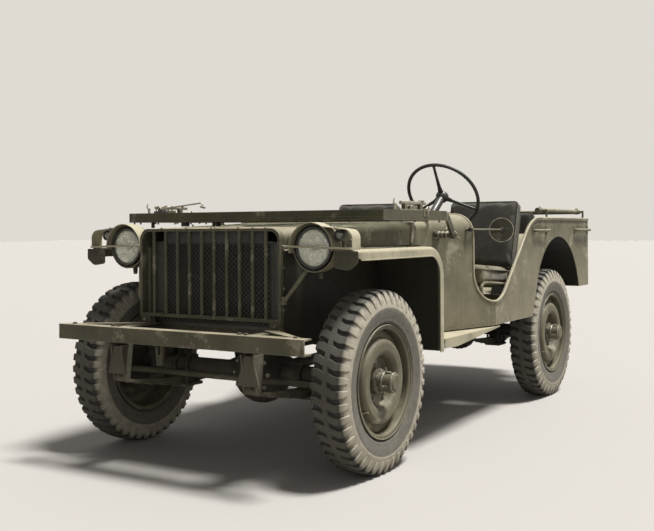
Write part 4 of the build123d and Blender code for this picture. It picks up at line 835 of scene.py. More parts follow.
class Repeats:
    """Geometry node trees that repeat a shape, each built at its first use."""

    @staticmethod
    def tree(name: str, inputs: dict[str, str], fill: Callable[[Any, Any], Node]) -> Any:
        """Get a tree, which ends in real geometry with its material.

        Args:
            name: The tree's name.
            inputs: Names and types of its own inputs.
            fill: Adds the tree's own nodes, given the tree and its inputs, and returns the last.

        Returns:
            The tree.
        """
        tree = bpy.data.node_groups.get(name)
        if tree is None:
            tree = bpy.data.node_groups.new(name, "GeometryNodeTree")
            for label, kind in {"Geometry": "Geometry", **inputs, "Material": "Material"}.items():
                tree.interface.new_socket(label, in_out="INPUT", socket_type=f"NodeSocket{kind}")
            tree.interface.new_socket("Geometry", in_out="OUTPUT", socket_type="NodeSocketGeometry")
            into = add_node(tree, "NodeGroupInput").outputs
            real = add_node(tree, "GeometryNodeRealizeInstances", {0: fill(tree, into)})
            dressed = {"Geometry": real, "Material": into["Material"]}
            add_node(tree, "NodeGroupOutput", {0: add_node(tree, "GeometryNodeSetMaterial", dressed)})
        return tree

    @staticmethod
    def ring(tree: Any, into: Any) -> Node:
        """Add the nodes that repeat an object round the x axis.

        Args:
            tree: The tree.
            into: Its inputs.

        Returns:
            The last node.
        """
        points = add_node(tree, "GeometryNodePoints", {"Count": into["Count"]})
        index = add_node(tree, "GeometryNodeInputIndex")
        share = add_node(tree, "Math", {0: index, 1: into["Count"]}, operation="DIVIDE")
        around = {0: share, 1: math.tau, 2: into["Start"]}
        euler = add_node(tree, "CombineXYZ", {0: add_node(tree, "Math", around, operation="MULTIPLY_ADD")})
        part = add_node(tree, "GeometryNodeObjectInfo", {"Object": into["Part"]})
        values = {
            "Points": points,
            "Instance": part.outputs["Geometry"],
            "Rotation": add_node(tree, "FunctionNodeEulerToRotation", {0: euler}),
        }
        return add_node(tree, "GeometryNodeInstanceOnPoints", values)

    @staticmethod
    def on_points(tree: Any, into: Any, head: Node) -> Node:
        """Add the nodes that put a head on each point, along the point's "aim".

        Args:
            tree: The tree.
            into: Its inputs.
            head: The node that makes the head.

        Returns:
            The last node.
        """
        aim = add_node(tree, "GeometryNodeInputNamedAttribute", {"Name": "aim"}, data_type="FLOAT_VECTOR")
        turn = add_node(tree, "FunctionNodeAlignRotationToVector", {"Vector": aim}, axis="Z")
        return add_node(
            tree, "GeometryNodeInstanceOnPoints", {"Points": into[0], "Instance": head, "Rotation": turn}
        )

    @classmethod
    def rivets(cls, tree: Any, into: Any) -> Node:
        """Add the nodes for domed heads.

        Args:
            tree: The tree.
            into: Its inputs.

        Returns:
            The last node.
        """
        dome = add_node(tree, "GeometryNodeMeshUVSphere", {"Segments": 10, "Rings": 6, "Radius": 1.0})
        size = add_node(tree, "CombineXYZ", {0: into["Radius"], 1: into["Radius"], 2: into["Height"]})
        unit = add_node(tree, "GeometryNodeTransform", {"Geometry": dome, "Scale": size})
        return cls.on_points(tree, into, unit)

    @classmethod
    def bolts(cls, tree: Any, into: Any) -> Node:
        """Add the nodes for hexagon heads on washers.

        Args:
            tree: The tree.
            into: Its inputs.

        Returns:
            The last node.
        """
        half, wide, flat = (
            add_node(tree, "Math", {0: into[label], 1: share}, operation="MULTIPLY")
            for label, share in (("Height", 0.5), ("Radius", 1.25), ("Height", 0.3))
        )
        size = {"Vertices": 6, "Radius": into["Radius"], "Depth": into["Height"]}
        hexagon = add_node(tree, "GeometryNodeMeshCylinder", size)
        lift = add_node(tree, "CombineXYZ", {2: half})
        stood = add_node(tree, "GeometryNodeTransform", {"Geometry": hexagon, "Translation": lift})
        washer = add_node(tree, "GeometryNodeMeshCylinder", {"Vertices": 14, "Radius": wide, "Depth": flat})
        joined = add_node(tree, "GeometryNodeJoinGeometry", {0: stood})
        tree.links.new(washer.outputs[0], joined.inputs[0])
        return cls.on_points(tree, into, joined)

    @staticmethod
    def screen(tree: Any, into: Any) -> Node:
        """Add the nodes that weave a slanting wire screen in a rectangle round the origin.

        Args:
            tree: The tree.
            into: Its inputs.

        Returns:
            The last node.
        """
        reach = add_node(tree, "Math", {0: into["Width"], 1: into["Height"]}, operation="ADD")
        side = add_node(tree, "Math", {0: reach, 1: 0.72}, operation="MULTIPLY")
        cells = {"Size X": side, "Size Y": side, "Vertices X": into["Cells"], "Vertices Y": into["Cells"]}
        slant = {
            "Geometry": add_node(tree, "GeometryNodeMeshGrid", cells),
            "Rotation": (0.0, 0.0, math.radians(45)),
        }
        split = add_node(tree, "SeparateXYZ", {0: add_node(tree, "GeometryNodeInputPosition")})
        outside = []
        for axis, extent in enumerate(("Width", "Height")):
            far = add_node(tree, "Math", {0: split.outputs[axis]}, operation="ABSOLUTE")
            limit = add_node(tree, "Math", {0: into[extent], 1: 0.5}, operation="MULTIPLY")
            outside.append(add_node(tree, "Math", {0: far, 1: limit}, operation="GREATER_THAN"))
        dropped = {
            "Geometry": add_node(tree, "GeometryNodeTransform", slant),
            "Selection": add_node(tree, "Math", {0: outside[0], 1: outside[1]}, operation="MAXIMUM"),
        }
        kept = add_node(tree, "GeometryNodeDeleteGeometry", dropped, domain="POINT")
        section = {"Resolution": 4, "Radius": into["Wire radius"]}
        wires = {
            "Curve": add_node(tree, "GeometryNodeMeshToCurve", {0: kept}),
            "Profile Curve": add_node(tree, "GeometryNodeCurvePrimitiveCircle", section),
        }
        return add_node(tree, "GeometryNodeCurveToMesh", wires)

    @staticmethod
    def run(tree: Any, values: dict[str, Any], base: bpy.types.Mesh | None = None) -> bpy.types.Mesh:
        """Run a tree and return its result as a plain mesh.

        Args:
            tree: The geometry node tree.
            values: Its inputs by name.
            base: The mesh that it starts from, which is dropped.

        Returns:
            The finished mesh.
        """
        start = base or bpy.data.meshes.new("start")
        carrier = bpy.data.objects.new("carrier", start)
        nodes = carrier.modifiers.new("repeat", "NODES")
        nodes.node_group = tree
        for item in tree.interface.items_tree:
            if item.in_out == "INPUT" and item.name in values:
                nodes[item.identifier] = values[item.name]
        bpy.context.scene.collection.objects.link(carrier)
        graph = bpy.context.evaluated_depsgraph_get()
        mesh = bpy.data.meshes.new_from_object(carrier.evaluated_get(graph))
        bpy.data.objects.remove(carrier)
        bpy.data.meshes.remove(start)
        return mesh


def ring_of(part: Shape, count: int, finish: Finish, start: float = 0.0) -> bpy.types.Mesh:
    """Repeat a shape round the x axis.

    Args:
        part: The shape, in millimetres about the x axis.
        count: How many there are.
        finish: The finish that covers them.
        start: Angle in radians of the first.

    Returns:
        The mesh of the ring.
    """
    shape = part.end("part")
    source = bpy.data.objects.new("source", shape)
    tree = Repeats.tree("ring_of_parts", {"Part": "Object", "Count": "Int", "Start": "Float"}, Repeats.ring)
    values = {"Part": source, "Count": count, "Start": start, "Material": finish.material()}
    mesh = Repeats.run(tree, values)
    bpy.data.objects.remove(source)
    bpy.data.meshes.remove(shape)
    return mesh


class Skin:
    """The surface of a CAD node, to set small pieces on."""

    def __init__(self, node: str, nodes: dict[str, bpy.types.Object]) -> None:
        """Read the node's mesh."""
        mesh = nodes[node].data
        self.tree = BVHTree.FromPolygons([v.co for v in mesh.vertices], [p.vertices for p in mesh.polygons])

    def meet(self, starts: Iterable[Point], way: Point) -> list[tuple[Vector, Vector]]:
        """Find where lines meet the surface.

        Args:
            starts: The lines' starts in the car's millimetres.
            way: Their direction.

        Returns:
            The points in millimetres, each with the surface's outward direction there.
        """
        found = []
        for start in starts:
            where, normal, _, _ = self.tree.ray_cast(TO_FRAME @ Vector(start), Vector(way).normalized())
            if where is not None:
                outward = -normal if normal.dot(Vector(way)) > 0 else normal
                found.append((TO_FRAME.inverted() @ where, outward))
        return found


@dataclass
class Fasteners:
    """Rivets, screws or bolts of one size on one body."""

    name: str
    finish: Finish
    head: Head
    radius: float
    height: float
    body: Body = Body.CHASSIS
    spots: list[tuple[Vector, Vector]] = field(default_factory=list)

    def at(self, place: Point, aim: Point, pair: bool = False) -> None:
        """Put one head at a place.

        Args:
            place: The place.
            aim: The direction it stands in.
            pair: Whether there is one on the car's other side too.
        """
        for side in (1, -1)[: 1 + pair]:
            self.spots.append((Vector(across(place, side)), Vector(across(aim, side)).normalized()))

    def build(self) -> bpy.types.Object:
        """Make the heads as one piece.

        Returns:
            The piece's object.
        """
        mesh = bpy.data.meshes.new("spots")
        mesh.from_pydata([tuple(p) for p, _ in self.spots], [], [])
        aim = mesh.attributes.new("aim", "FLOAT_VECTOR", "POINT")
        for i, (_, way) in enumerate(self.spots):
            aim.data[i].vector = way
        fill = Repeats.rivets if self.head is Head.RIVET else Repeats.bolts
        tree = Repeats.tree(f"{self.head.value}_heads", {"Radius": "Float", "Height": "Float"}, fill)
        values = {"Radius": self.radius, "Height": self.height, "Material": self.finish.material()}
        made = Shape().add_mesh(Repeats.run(tree, values, mesh))
        return made.finish(self.name, self.finish, 30, self.body)


# Wheels and tyres


@dataclass
class Tyre:
    """Cross-country bar-tread tyre about the x axis, its outer side towards +x."""

    radius: float = 356.0
    lug_count: int = 44
    lug_depth: float = 12.0
    low_lug_depth: float = 5.0
    steps: int = 132
    # Half of the carcass section from the crown to the bead, as (x, radius).
    section: Profile = (
        (0.0, 355.6), (10.0, 355.2), (13.0, 345.5), (40.0, 344.5), (55.0, 341.0), (61.5, 333.0),
        (66.5, 322.0), (70.5, 308.0), (72.2, 296.0), (73.6, 291.0), (73.8, 286.0), (72.8, 281.5),
        (73.2, 277.0), (72.6, 271.0), (71.0, 259.0), (68.4, 246.0), (67.0, 241.0), (67.4, 237.0),
        (65.2, 231.0), (59.5, 225.5), (57.0, 221.0), (56.0, 212.0), (51.0, 207.6),
    )
    # Stations along a lug: x, radius, offset round the tyre, half width, outward x, outward radius.
    stations: Sequence[Point] = (
        (6.0, 355.7, 12.0, 15.5, 0.0, 1.0),
        (20.0, 355.4, 7.5, 16.5, 0.0, 1.0),
        (34.0, 354.6, 0.5, 16.0, 0.05, 0.99),
        (48.0, 352.9, 0.0, 15.0, 0.15, 0.98),
        (57.5, 350.6, 0.0, 14.6, 0.35, 0.93),
        (64.5, 341.5, 0.0, 14.0, 0.75, 0.66),
        (69.3, 328.0, 0.0, 13.0, 0.93, 0.36),
        (72.0, 314.0, 0.0, 11.5, 0.98, 0.2),
        (73.0, 303.0, 0.0, 9.0, 0.98, 0.2),
    )

    def lug(self) -> Shape:
        """Build one bar of the tread, kinked towards the crown and reaching down the shoulder.

        Returns:
            The bar.
        """
        rings = []
        for x, reach, shift, half, out_x, out_r in self.stations:
            depth = self.lug_depth if x < 70 else self.low_lug_depth
            left = [(-half - 1.5, depth), (-half, 2.0), (-half + 2.0, 0.0)]
            ring = []
            for across, down in left + [(0.0, 0.0)] + [(-a, d) for a, d in reversed(left)]:
                r = reach - out_r * down
                a = (shift + across) / self.radius
                ring.append((x - out_x * down, r * math.sin(a), r * math.cos(a)))
            rings.append(ring)
        return Shape().skin(rings)

    def shape(self) -> Shape:
        """Build the whole tyre, with how dusty each point is.

        Returns:
            The tyre.
        """
        outline = list(self.section) + [(-x, r) for x, r in reversed(self.section[1:])]
        whole = Shape().lathe(outline, steps=self.steps)
        bmesh.ops.recalc_face_normals(whole.mesh, faces=whole.mesh.faces)
        whole.add_mesh(ring_of(self.lug(), self.lug_count, TYRE_RUBBER))
        far = self.lug().place(Matrix.Rotation(math.pi, 4, "Z"))
        whole.add_mesh(ring_of(far, self.lug_count, TYRE_RUBBER, math.pi / self.lug_count))
        layer = whole.mesh.verts.layers.float.new("dust")
        for vert in whole.mesh.verts:
            x, r = abs(vert.co.x), math.hypot(vert.co.y, vert.co.z)
            side = min(max((x - 57.0) / 9.0, 0.0), 1.0)
            # Less dust below the lug tops darkens the grooves as painted shade; the sidewall is darker
            # inside radius 284 mm.
            tread = 0.16 if r > 352.0 else 0.02
            wall = 0.95 if r > 284.0 else 0.3
            vert[layer] = tread + (wall - tread) * side
        return whole


@dataclass
class RoadWheels:
    """The four road wheels and the spare: tyres, nuts, hub fittings and valves."""

    track_half: float = 603.0
    spare: tuple[float, float, float] = (0.0, PANEL_Y + 90.0, 760.0)
    nut_ring: float = 76.0
    nut_count: int = 5
    hub_bolt_count: int = 6
    mount_ring: float = 55.0
    # Flange, cap and grease plug on the hub's outer end, as (along, radius).
    hub_steps: Sequence[Profile] = (
        ((36.0, 30.0), (36.0, 45.5), (38.6, 49.2), (40.4, 49.2), (40.4, 30.0)),
        ((56.0, 30.0), (56.0, 39.6), (58.0, 40.6), (64.0, 40.6), (66.0, 39.6), (66.0, 30.0)),
        ((96.0, 30.0), (96.0, 38.7), (98.0, 39.6), (103.0, 39.6), (105.0, 38.7), (105.0, 30.0)),
    )

    def places(self) -> list[tuple[str, Body, Matrix]]:
        """List the wheels.

        Returns:
            Name, body and placing of each.
        """
        made = []
        for end, y in (("front", 0.0), ("rear", WHEELBASE)):
            for side, sign in (("left", 1), ("right", -1)):
                turn = Matrix.Rotation(0.0 if sign > 0 else math.pi, 4, "Z")
                where = Matrix.Translation((sign * self.track_half, y, AXLE_Z))
                made.append((f"{end}_{side}", Body(f"{end}_{side}_road_wheel"), where @ turn))
        back = Matrix.Translation(self.spare) @ Matrix.Rotation(math.pi / 2, 4, "Z")
        made.append(("spare", Body.CHASSIS, back))
        return made

    def hub_fittings(self) -> Shape:
        """Build flange bolts, stepped cap, grease plug and clips on the hub's outer end.

        Returns:
            The fittings.
        """
        bolt = Shape().bolt((37.0, 0.0, 41.0), (1, 0, 0), 13.0, 8.0)
        made = Shape().add_mesh(ring_of(bolt, self.hub_bolt_count, GALVANISED))
        for profile in self.hub_steps:
            made.lathe(profile, steps=40)
        clip = Shape().box((68, 93), (-5, 5), (36, 43.5)).rod((74, 0, 43), (74, 0, 47), 4, 8)
        return made.add_mesh(ring_of(clip, 4, GALVANISED, 0.3))

    def spare_mount(self) -> Shape:
        """Build the spare wheel's post and its bolts.

        Returns:
            The mount.
        """
        hold = Shape()
        for a in (0.0, math.tau / 3, 2 * math.tau / 3):
            place = (16.5, self.mount_ring * math.sin(a), self.mount_ring * math.cos(a))
            hold.bolt(place, (1, 0, 0), 22, 15)
        return hold.rod((-60, 0, 0), (20, 0, 0), 28, 24)

    def build(self) -> None:
        """Make each wheel's pieces."""
        for name, body, where in self.places():
            tyre = Tyre().shape().place(where)
            piece = tyre.finish(f"{name}_bar_tread_tyre", TYRE_RUBBER, 32, body, recalc=False)
            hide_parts(f"{name}_tyre")
            nut = Shape().bolt((16.3, 0.0, self.nut_ring), (1, 0, 0), 19.0, 13.0)
            nuts = Shape().add_mesh(ring_of(nut, self.nut_count, GALVANISED, 0.2))
            nuts.place(where).finish(f"{name}_wheel_nuts", GALVANISED, 30, body)
            valve = Shape().rod((32, 0, -176), (46, 0, -171), 4.5, 10)
            valve.rod((45, 0, -171), (62, 0, -166), 3.2, 10).place(where @ Matrix.Rotation(-0.95, 4, "X"))
            valve.finish(f"{name}_valve", STEEL, body=body)
            if name == "spare":
                self.spare_mount().place(where).finish("spare_mount", CHASSIS_PAINT, 30)
            else:
                hub = self.hub_fittings().place(where)
                hub.finish(f"{name}_hub_fittings", GALVANISED, 30, body)


# Lamps


@dataclass
class Lamps:
    """Headlamps with their reflectors and rims, marker lamps and tail lamps."""

    head: tuple[float, float, float] = (475.0, -212.0, 876.0)
    marker: tuple[float, float, float] = (590.0, -215.0, 924.0)
    tail: tuple[float, float, float] = (560.0, PANEL_Y + 40.0, 700.0)
    lens_radius: float = 71.0
    bowl: Profile = (
        (-13.5, 0.01), (-12.8, 22.0), (-10.0, 45.0), (-4.0, 62.0), (-1.0, 70.5), (-2.0, 70.5), (-13.9, 40.0),
        (-13.9, 0.01),
    )
    head_rim: Profile = (
        (3.0, 70.0), (5.0, 71.5), (6.0, 75.0), (5.0, 79.0), (1.0, 80.5), (-6.0, 80.5), (-6.0, 79.2),
        (2.0, 72.0),
    )
    marker_rim: Profile = (
        (-4.0, 15.5), (5.0, 15.5), (7.0, 17.5), (6.0, 21.0), (2.0, 22.0), (-14.0, 22.0), (-14.0, 21.0),
    )
    tail_rim: Profile = ((-3.0, 31.5), (3.0, 31.5), (4.0, 34.0), (2.0, 38.6), (-8.0, 38.8), (-8.0, 37.8))

    def dome(self, radius: float, rise: float, thickness: float) -> Profile:
        """Draw the section of a domed disc whose crown is on the axis.

        Args:
            radius: The disc's radius.
            rise: How far its crown stands out.
            thickness: Its thickness.

        Returns:
            The section, as (along, radius).
        """
        turns = [t * math.pi / 2 for t in (0.001, 0.2, 0.4, 0.6, 0.8, 1.0)]
        front = [(rise * math.cos(a), radius * math.sin(a)) for a in turns]
        return front + [(a - thickness, r) for a, r in reversed(front)]

    def turned(
        self, name: str, finish: Finish, profile: Profile, place: Point, steps: int, smooth: float = SMOOTH
    ) -> bpy.types.Object:
        """Turn a piece of a lamp that looks away from the car, on both of the car's sides.

        Args:
            name: The piece's name.
            finish: The finish that covers it.
            profile: Its section, as (along, radius).
            place: Its middle on the left side.
            steps: How many steps the turn has.
            smooth: Angle in degrees up to which faces shade as one.

        Returns:
            The piece's object.
        """
        way = (0, 1 if place[1] > 0 else -1, 0)
        return Shape().lathe(profile, place, way, steps).mirrored().finish(name, finish, smooth)

    def headlamps(self) -> None:
        """Build rims, guard knobs and studs of both headlamps."""
        x, y, z = self.head
        ring = Shape().lathe(self.head_rim, self.head, (0, -1, 0), 64)
        ring.rod((x - 3, y + 2, z - 83), (x + 3, y + 2, z - 83), 5, 10)
        ring.mirrored().finish("headlamp_rims", DARK_ENAMEL, 35)
        knob = Shape().rod((572, y, 945), (572, y, 953), 5, 12)
        turned = ((8, 0.01), (8, 8), (11, 9), (15, 8), (17, 4), (17.5, 0.01))
        knob.lathe(turned, (572, y, 943), (0, 0, 1), 18)
        knob.mirrored().finish("lamp_guard_knobs", STEEL)
        stud = Shape().rod((x, y + 50, z - 92), (x, y + 50, z - 112), 10, 12)
        stud.bolt((x, y + 50, z - 110), (0, 0, -1), 16, 8)
        stud.mirrored().finish("headlamp_studs", CHASSIS_PAINT, 30)

    def build(self) -> None:
        """Make all lamps."""
        x, y, z = self.head
        lens = self.dome(self.lens_radius - 0.5, 15.0, 3.0)
        glass = self.turned("headlamp_lenses", LENS, lens, self.head, 48, 60)
        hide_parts("lamp_lenses")
        self.turned("headlamp_reflectors", BRIGHT_STEEL, self.bowl, self.head, 48, 50)
        self.turned("headlamp_bulbs", LENS, self.dome(11.0, 9.0, 4.0), (x, y + 9.5, z), 20, 60)
        self.headlamps()
        self.turned("marker_rims", DARK_ENAMEL, self.marker_rim, self.marker, 28)
        self.turned("marker_lenses", LENS, self.dome(16.0, 7.0, 5.0), self.marker, 24, 60)
        self.turned("tail_lenses", RED_GLASS, self.dome(32.0, 7.0, 6.0), self.tail, 32, 60)
        self.turned("tail_rims", DARK_ENAMEL, self.tail_rim, self.tail, 40)


# Radiator, its guard and the bumper


@dataclass
class Front:
    """Radiator screen and baffles, guard bolts and bumper bolts."""

    screen_y: float = -208.0
    half_width: float = 284.0
    low_z: float = 560.0
    high_z: float = 896.0
    cells: int = 46
    wire_radius: float = 1.3

    def screen(self) -> None:
        """Weave the radiator's wire screen and set baffles beside it."""
        values = {
            "Width": 2 * self.half_width,
            "Height": self.high_z - self.low_z,
            "Cells": self.cells,
            "Wire radius": self.wire_radius,
            "Material": DARK_WIRE.material(),
        }
        inputs = {"Width": "Float", "Height": "Float", "Cells": "Int", "Wire radius": "Float"}
        shape = Shape().add_mesh(Repeats.run(Repeats.tree("wire_screen", inputs, Repeats.screen), values))
        upright = Matrix.Rotation(math.pi / 2, 4, "X")
        shape.place(Matrix.Translation((0, self.screen_y, (self.low_z + self.high_z) / 2)) @ upright)
        shape.finish("radiator_screen", DARK_WIRE, 30)
        baffle = Shape().box((286.5, 345), (-204, -201), (562, 898)).mirrored()
        baffle.finish("radiator_baffles", DARK_ENAMEL)

    def bolts(self) -> None:
        """Put small bolts along the guard's rim and its feet, and bolts on the bumper."""
        small = Fasteners("guard_bolts", GALVANISED, Head.BOLT, 5.0, 4.5)
        for x in (-250, -120, 10, 145, 215, 275):
            small.at((x, -246, 952), (0, 0, 1))
        small.at((330, -262, 575), (0, -1, 0), pair=True)
        for z in (640, 720, 800, 870):
            small.at((355, -240, z), (1, 0, 0), pair=True)
        small.build()
        large = Fasteners("bumper_bolts", CHASSIS_PAINT, Head.BOLT, 8.5, 6.0)
        for x in (300, 330, 545):
            large.at((x, -447, 563), (0, 0, 1), pair=True)
        large.build()

    def build(self) -> None:
        """Make the front's pieces."""
        self.screen()
        self.bolts()


# Underside


@dataclass
class Underside:
    """Ribs and cover bolts on the differentials."""

    nodes: dict[str, bpy.types.Object]
    middle_x: float = 90.0
    cover_radius: float = 84.0
    cover_bolt_count: int = 10

    def ribs(self, node: str, y: float) -> None:
        """Lay ribs round the lower half of a differential's housing.

        Args:
            node: The axle's node.
            y: The axle's station.
        """
        skin = Skin(node, self.nodes)
        ribs = Shape()
        for offset in (-66, -44, -22, 0, 22, 44, 66):
            middle = Vector((self.middle_x + offset, y, AXLE_Z))
            line = []
            for degrees in range(200, 345, 12):
                a = math.radians(degrees)
                way = Vector((0, math.cos(a), math.sin(a)))
                line += [place for place, _ in skin.meet([middle + way * 170], -way)]
            if len(line) > 2:
                ribs.tube(line, 3.5, 8)
        ribs.finish(f"{node}_ribs", CAST_IRON, 50)

    def cover(self, node: str, y: float, side: int) -> None:
        """Bolt a differential's cover on.

        Args:
            node: The axle's node.
            y: The axle's station.
            side: 1 for a cover on the rear of the axle, -1 for one in front.
        """
        bolts = Fasteners(f"{node}_cover_bolts", STEEL, Head.BOLT, 7.0, 6.0)
        ring = [
            (self.middle_x + x, y + side * 300, AXLE_Z + z)
            for x, z in circle(self.cover_radius, self.cover_bolt_count)
        ]
        for place, aim in Skin(node, self.nodes).meet(ring, (0, -side, 0)):
            bolts.at(place, aim)
        bolts.build()

    def build(self) -> None:
        """Make the underside's pieces."""
        self.ribs("front_axle", 0.0)
        self.ribs("rear_axle", WHEELBASE)
        self.cover("front_axle", 0.0, -1)
        self.cover("rear_axle", WHEELBASE, 1)


# Windscreen


@dataclass
class Windscreen:
    """Fittings on the folded windscreen: seam, gaskets, rests, wiper, clamps and pivots."""

    half: float = 662.0
    pivot: tuple[float, float] = (701.0, 917.0)
    # Clamp plates on a side rail: middle and half width, then the ranges in y and z.
    plates: Sequence[tuple[float, float, Point, Point]] = (
        (650, 11, (150, 400), (1022, 1026)),
        (650, 9, (190, 212), (1024, 1050)),
        (650, 9, (330, 352), (1024, 1050)),
        (650, 10, (232, 300), (1024, 1040)),
        (662, 2, (352, 404), (996, 1030)),
    )
    # Clamp bars on a side rail: start, end, radius and sides.
    bars: Sequence[tuple[Point, Point, float, int]] = (
        ((650, 165, 1052), (650, 390, 1052), 7.5, 14),
        ((650, 120, 1024), (650, 120, 1048), 6, 10),
        ((664, 378, 1018), (674, 378, 1018), 9, 6),
        ((650, 250, 1038), (650, 250, 1062), 5, 12),
        ((650, 282, 1038), (650, 282, 1062), 5, 12),
        ((638, 352, 1060), (664, 352, 1060), 5, 10),
    )
    # Clamp hooks on a side rail: three points and the radius of the bend.
    hooks: Sequence[tuple[Sequence[Point], float]] = (
        (((650, 122, 1040), (650, 104, 1052), (650, 112, 1068)), 6),
        (((650, 402, 1026), (650, 420, 1040), (650, 436, 1030)), 8),
    )
    # Points along a wing nut, in x and behind and above the pivot.
    wing: Sequence[Point] = ((662, -25, 16), (657, -11, 7), (656, 0, 0), (657, 11, -7), (662, 25, -16))

    def rails(self) -> None:
        """Cap the front rail with its seam and line the panes with rubber."""
        seam = Shape().box((-self.half + 2, self.half - 2), (-1.6, 1), (984, 997))
        seam.finish("windscreen_seam", FRONT_PAINT, body=Body.WINDSCREEN, bevel=0.8)
        gasket = Shape()
        for low, high in ((-631, -7), (7, 631)):
            middle = (low + high) / 2
            for z in (997.5, 1006.5):
                loop = [(middle, 31, z), (high, 31, z), (high, 557, z), (low, 557, z), (low, 31, z)]
                gasket.tube(rounded(loop + [(middle - 1, 31, z)], 18, 4), 5, 8, loop=True)
        gasket.finish("windscreen_gaskets", SOFT_RUBBER, body=Body.WINDSCREEN)

    def studs(self) -> None:
        """Hang the rail's screws and rubber rests."""
        screws = Fasteners("windscreen_screws", DARK_ENAMEL, Head.BOLT, 4.2, 9.0, Body.WINDSCREEN)
        for step in range(-5, 6):
            screws.at((step * 127, 6, 982), (0, 0, -1))
        for y in (60, 180, 300, 420, 540):
            screws.at((647, y, 982), (0, 0, -1), pair=True)
        screws.build()
        rests = Shape()
        for x in (-342, -168, 349):
            rests.box((x - 15, x + 15), (3, 27), (962, 982))
        rests.rod((-529, 12, 956), (-529, 12, 982), 8, 14)
        rests.finish("windscreen_rests", SOFT_RUBBER, body=Body.WINDSCREEN, bevel=2)

    def wiper(self) -> None:
        """Build the wiper's motor, spindle and folded arm."""
        bent = [(-492, 40, 1034), (-470, 44, 1046), (-292, 64, 1066), (-286, 66, 1058), (-286, 66, 1046)]
        arm = Shape().tube(rounded(bent, 7), 3.4)
        arm.tube([(-286, 52, 1049), (-286, 66, 1047), (-286, 82, 1045)], 4.5)
        for x, y, z, radius in ((-549, 72, 1040, 14), (-497, 66, 1041, 15)):
            arm.tube([(x + a, y, z + b) for a, b in circle(radius, 16)], 3, 8, loop=True)
        arm.finish("wiper_arm", STEEL, body=Body.WINDSCREEN)
        motor = Shape().rod((-492, 34, 1022), (-492, 34, 1040), 15, 20)
        motor.box((-520, -468), (8, 30), (1022, 1032)).rod((-549, 60, 1022), (-549, 74, 1030), 6, 12)
        motor.finish("wiper_motor", DARK_ENAMEL, body=Body.WINDSCREEN, bevel=1)

    def clamps(self) -> None:
        """Build the catches on the side rails."""
        plates, bars = Shape(), Shape()
        for side in (1, -1):
            for middle, half, y, z in self.plates:
                plates.box((side * middle - half, side * middle + half), y, z)
            for start, end, radius, sides in self.bars:
                bars.rod(across(start, side), across(end, side), radius, sides)
            for points, bend in self.hooks:
                bars.tube(rounded([across(p, side) for p in points], bend), 3)
        plates.finish("clamp_plates", BODY_PAINT, body=Body.WINDSCREEN, bevel=1.2)
        bars.finish("clamp_bars", STEEL, body=Body.WINDSCREEN)

    def pivots(self) -> None:
        """Build the wing nuts and the collars at the pivots."""
        y, z = self.pivot
        nuts = Shape()
        for side in (1, -1):
            nuts.rod((side * 647, y, z), (side * 660, y, z), 12, 16)
            nuts.tube([(side * x, y + back, z + up) for x, back, up in self.wing], 4, 8)
            nuts.bolt((side * 633, y, z), (-side, 0, 0), 20, 9)
        nuts.finish("pivot_wing_nuts", STEEL, body=Body.WINDSCREEN)
        collars = Shape()
        ring = ((-4, 13.5), (-4, 15.5), (-2.5, 17), (2.5, 17), (4, 15.5), (4, 13.5))
        for x in (572, 590, 612):
            collars.lathe(ring, (x, y, z), (1, 0, 0), 24)
        for back, up in ((-17, -15), (-17, 15), (17, -15), (17, 15)):
            collars.rod((548, y + back, z + up), (568, y + back, z + up), 4.5, 12)
        collars.tube(rounded([(606, y, 934), (606, y, 946), (606, 716, 950), (606, 730, 940)], 6), 3)
        collars.mirrored().finish("pivot_collars", STEEL)

    def build(self) -> None:
        """Make the windscreen's pieces."""
        self.rails()
        self.studs()
        self.wiper()
        self.clamps()
        self.pivots()


# Hood and body sides


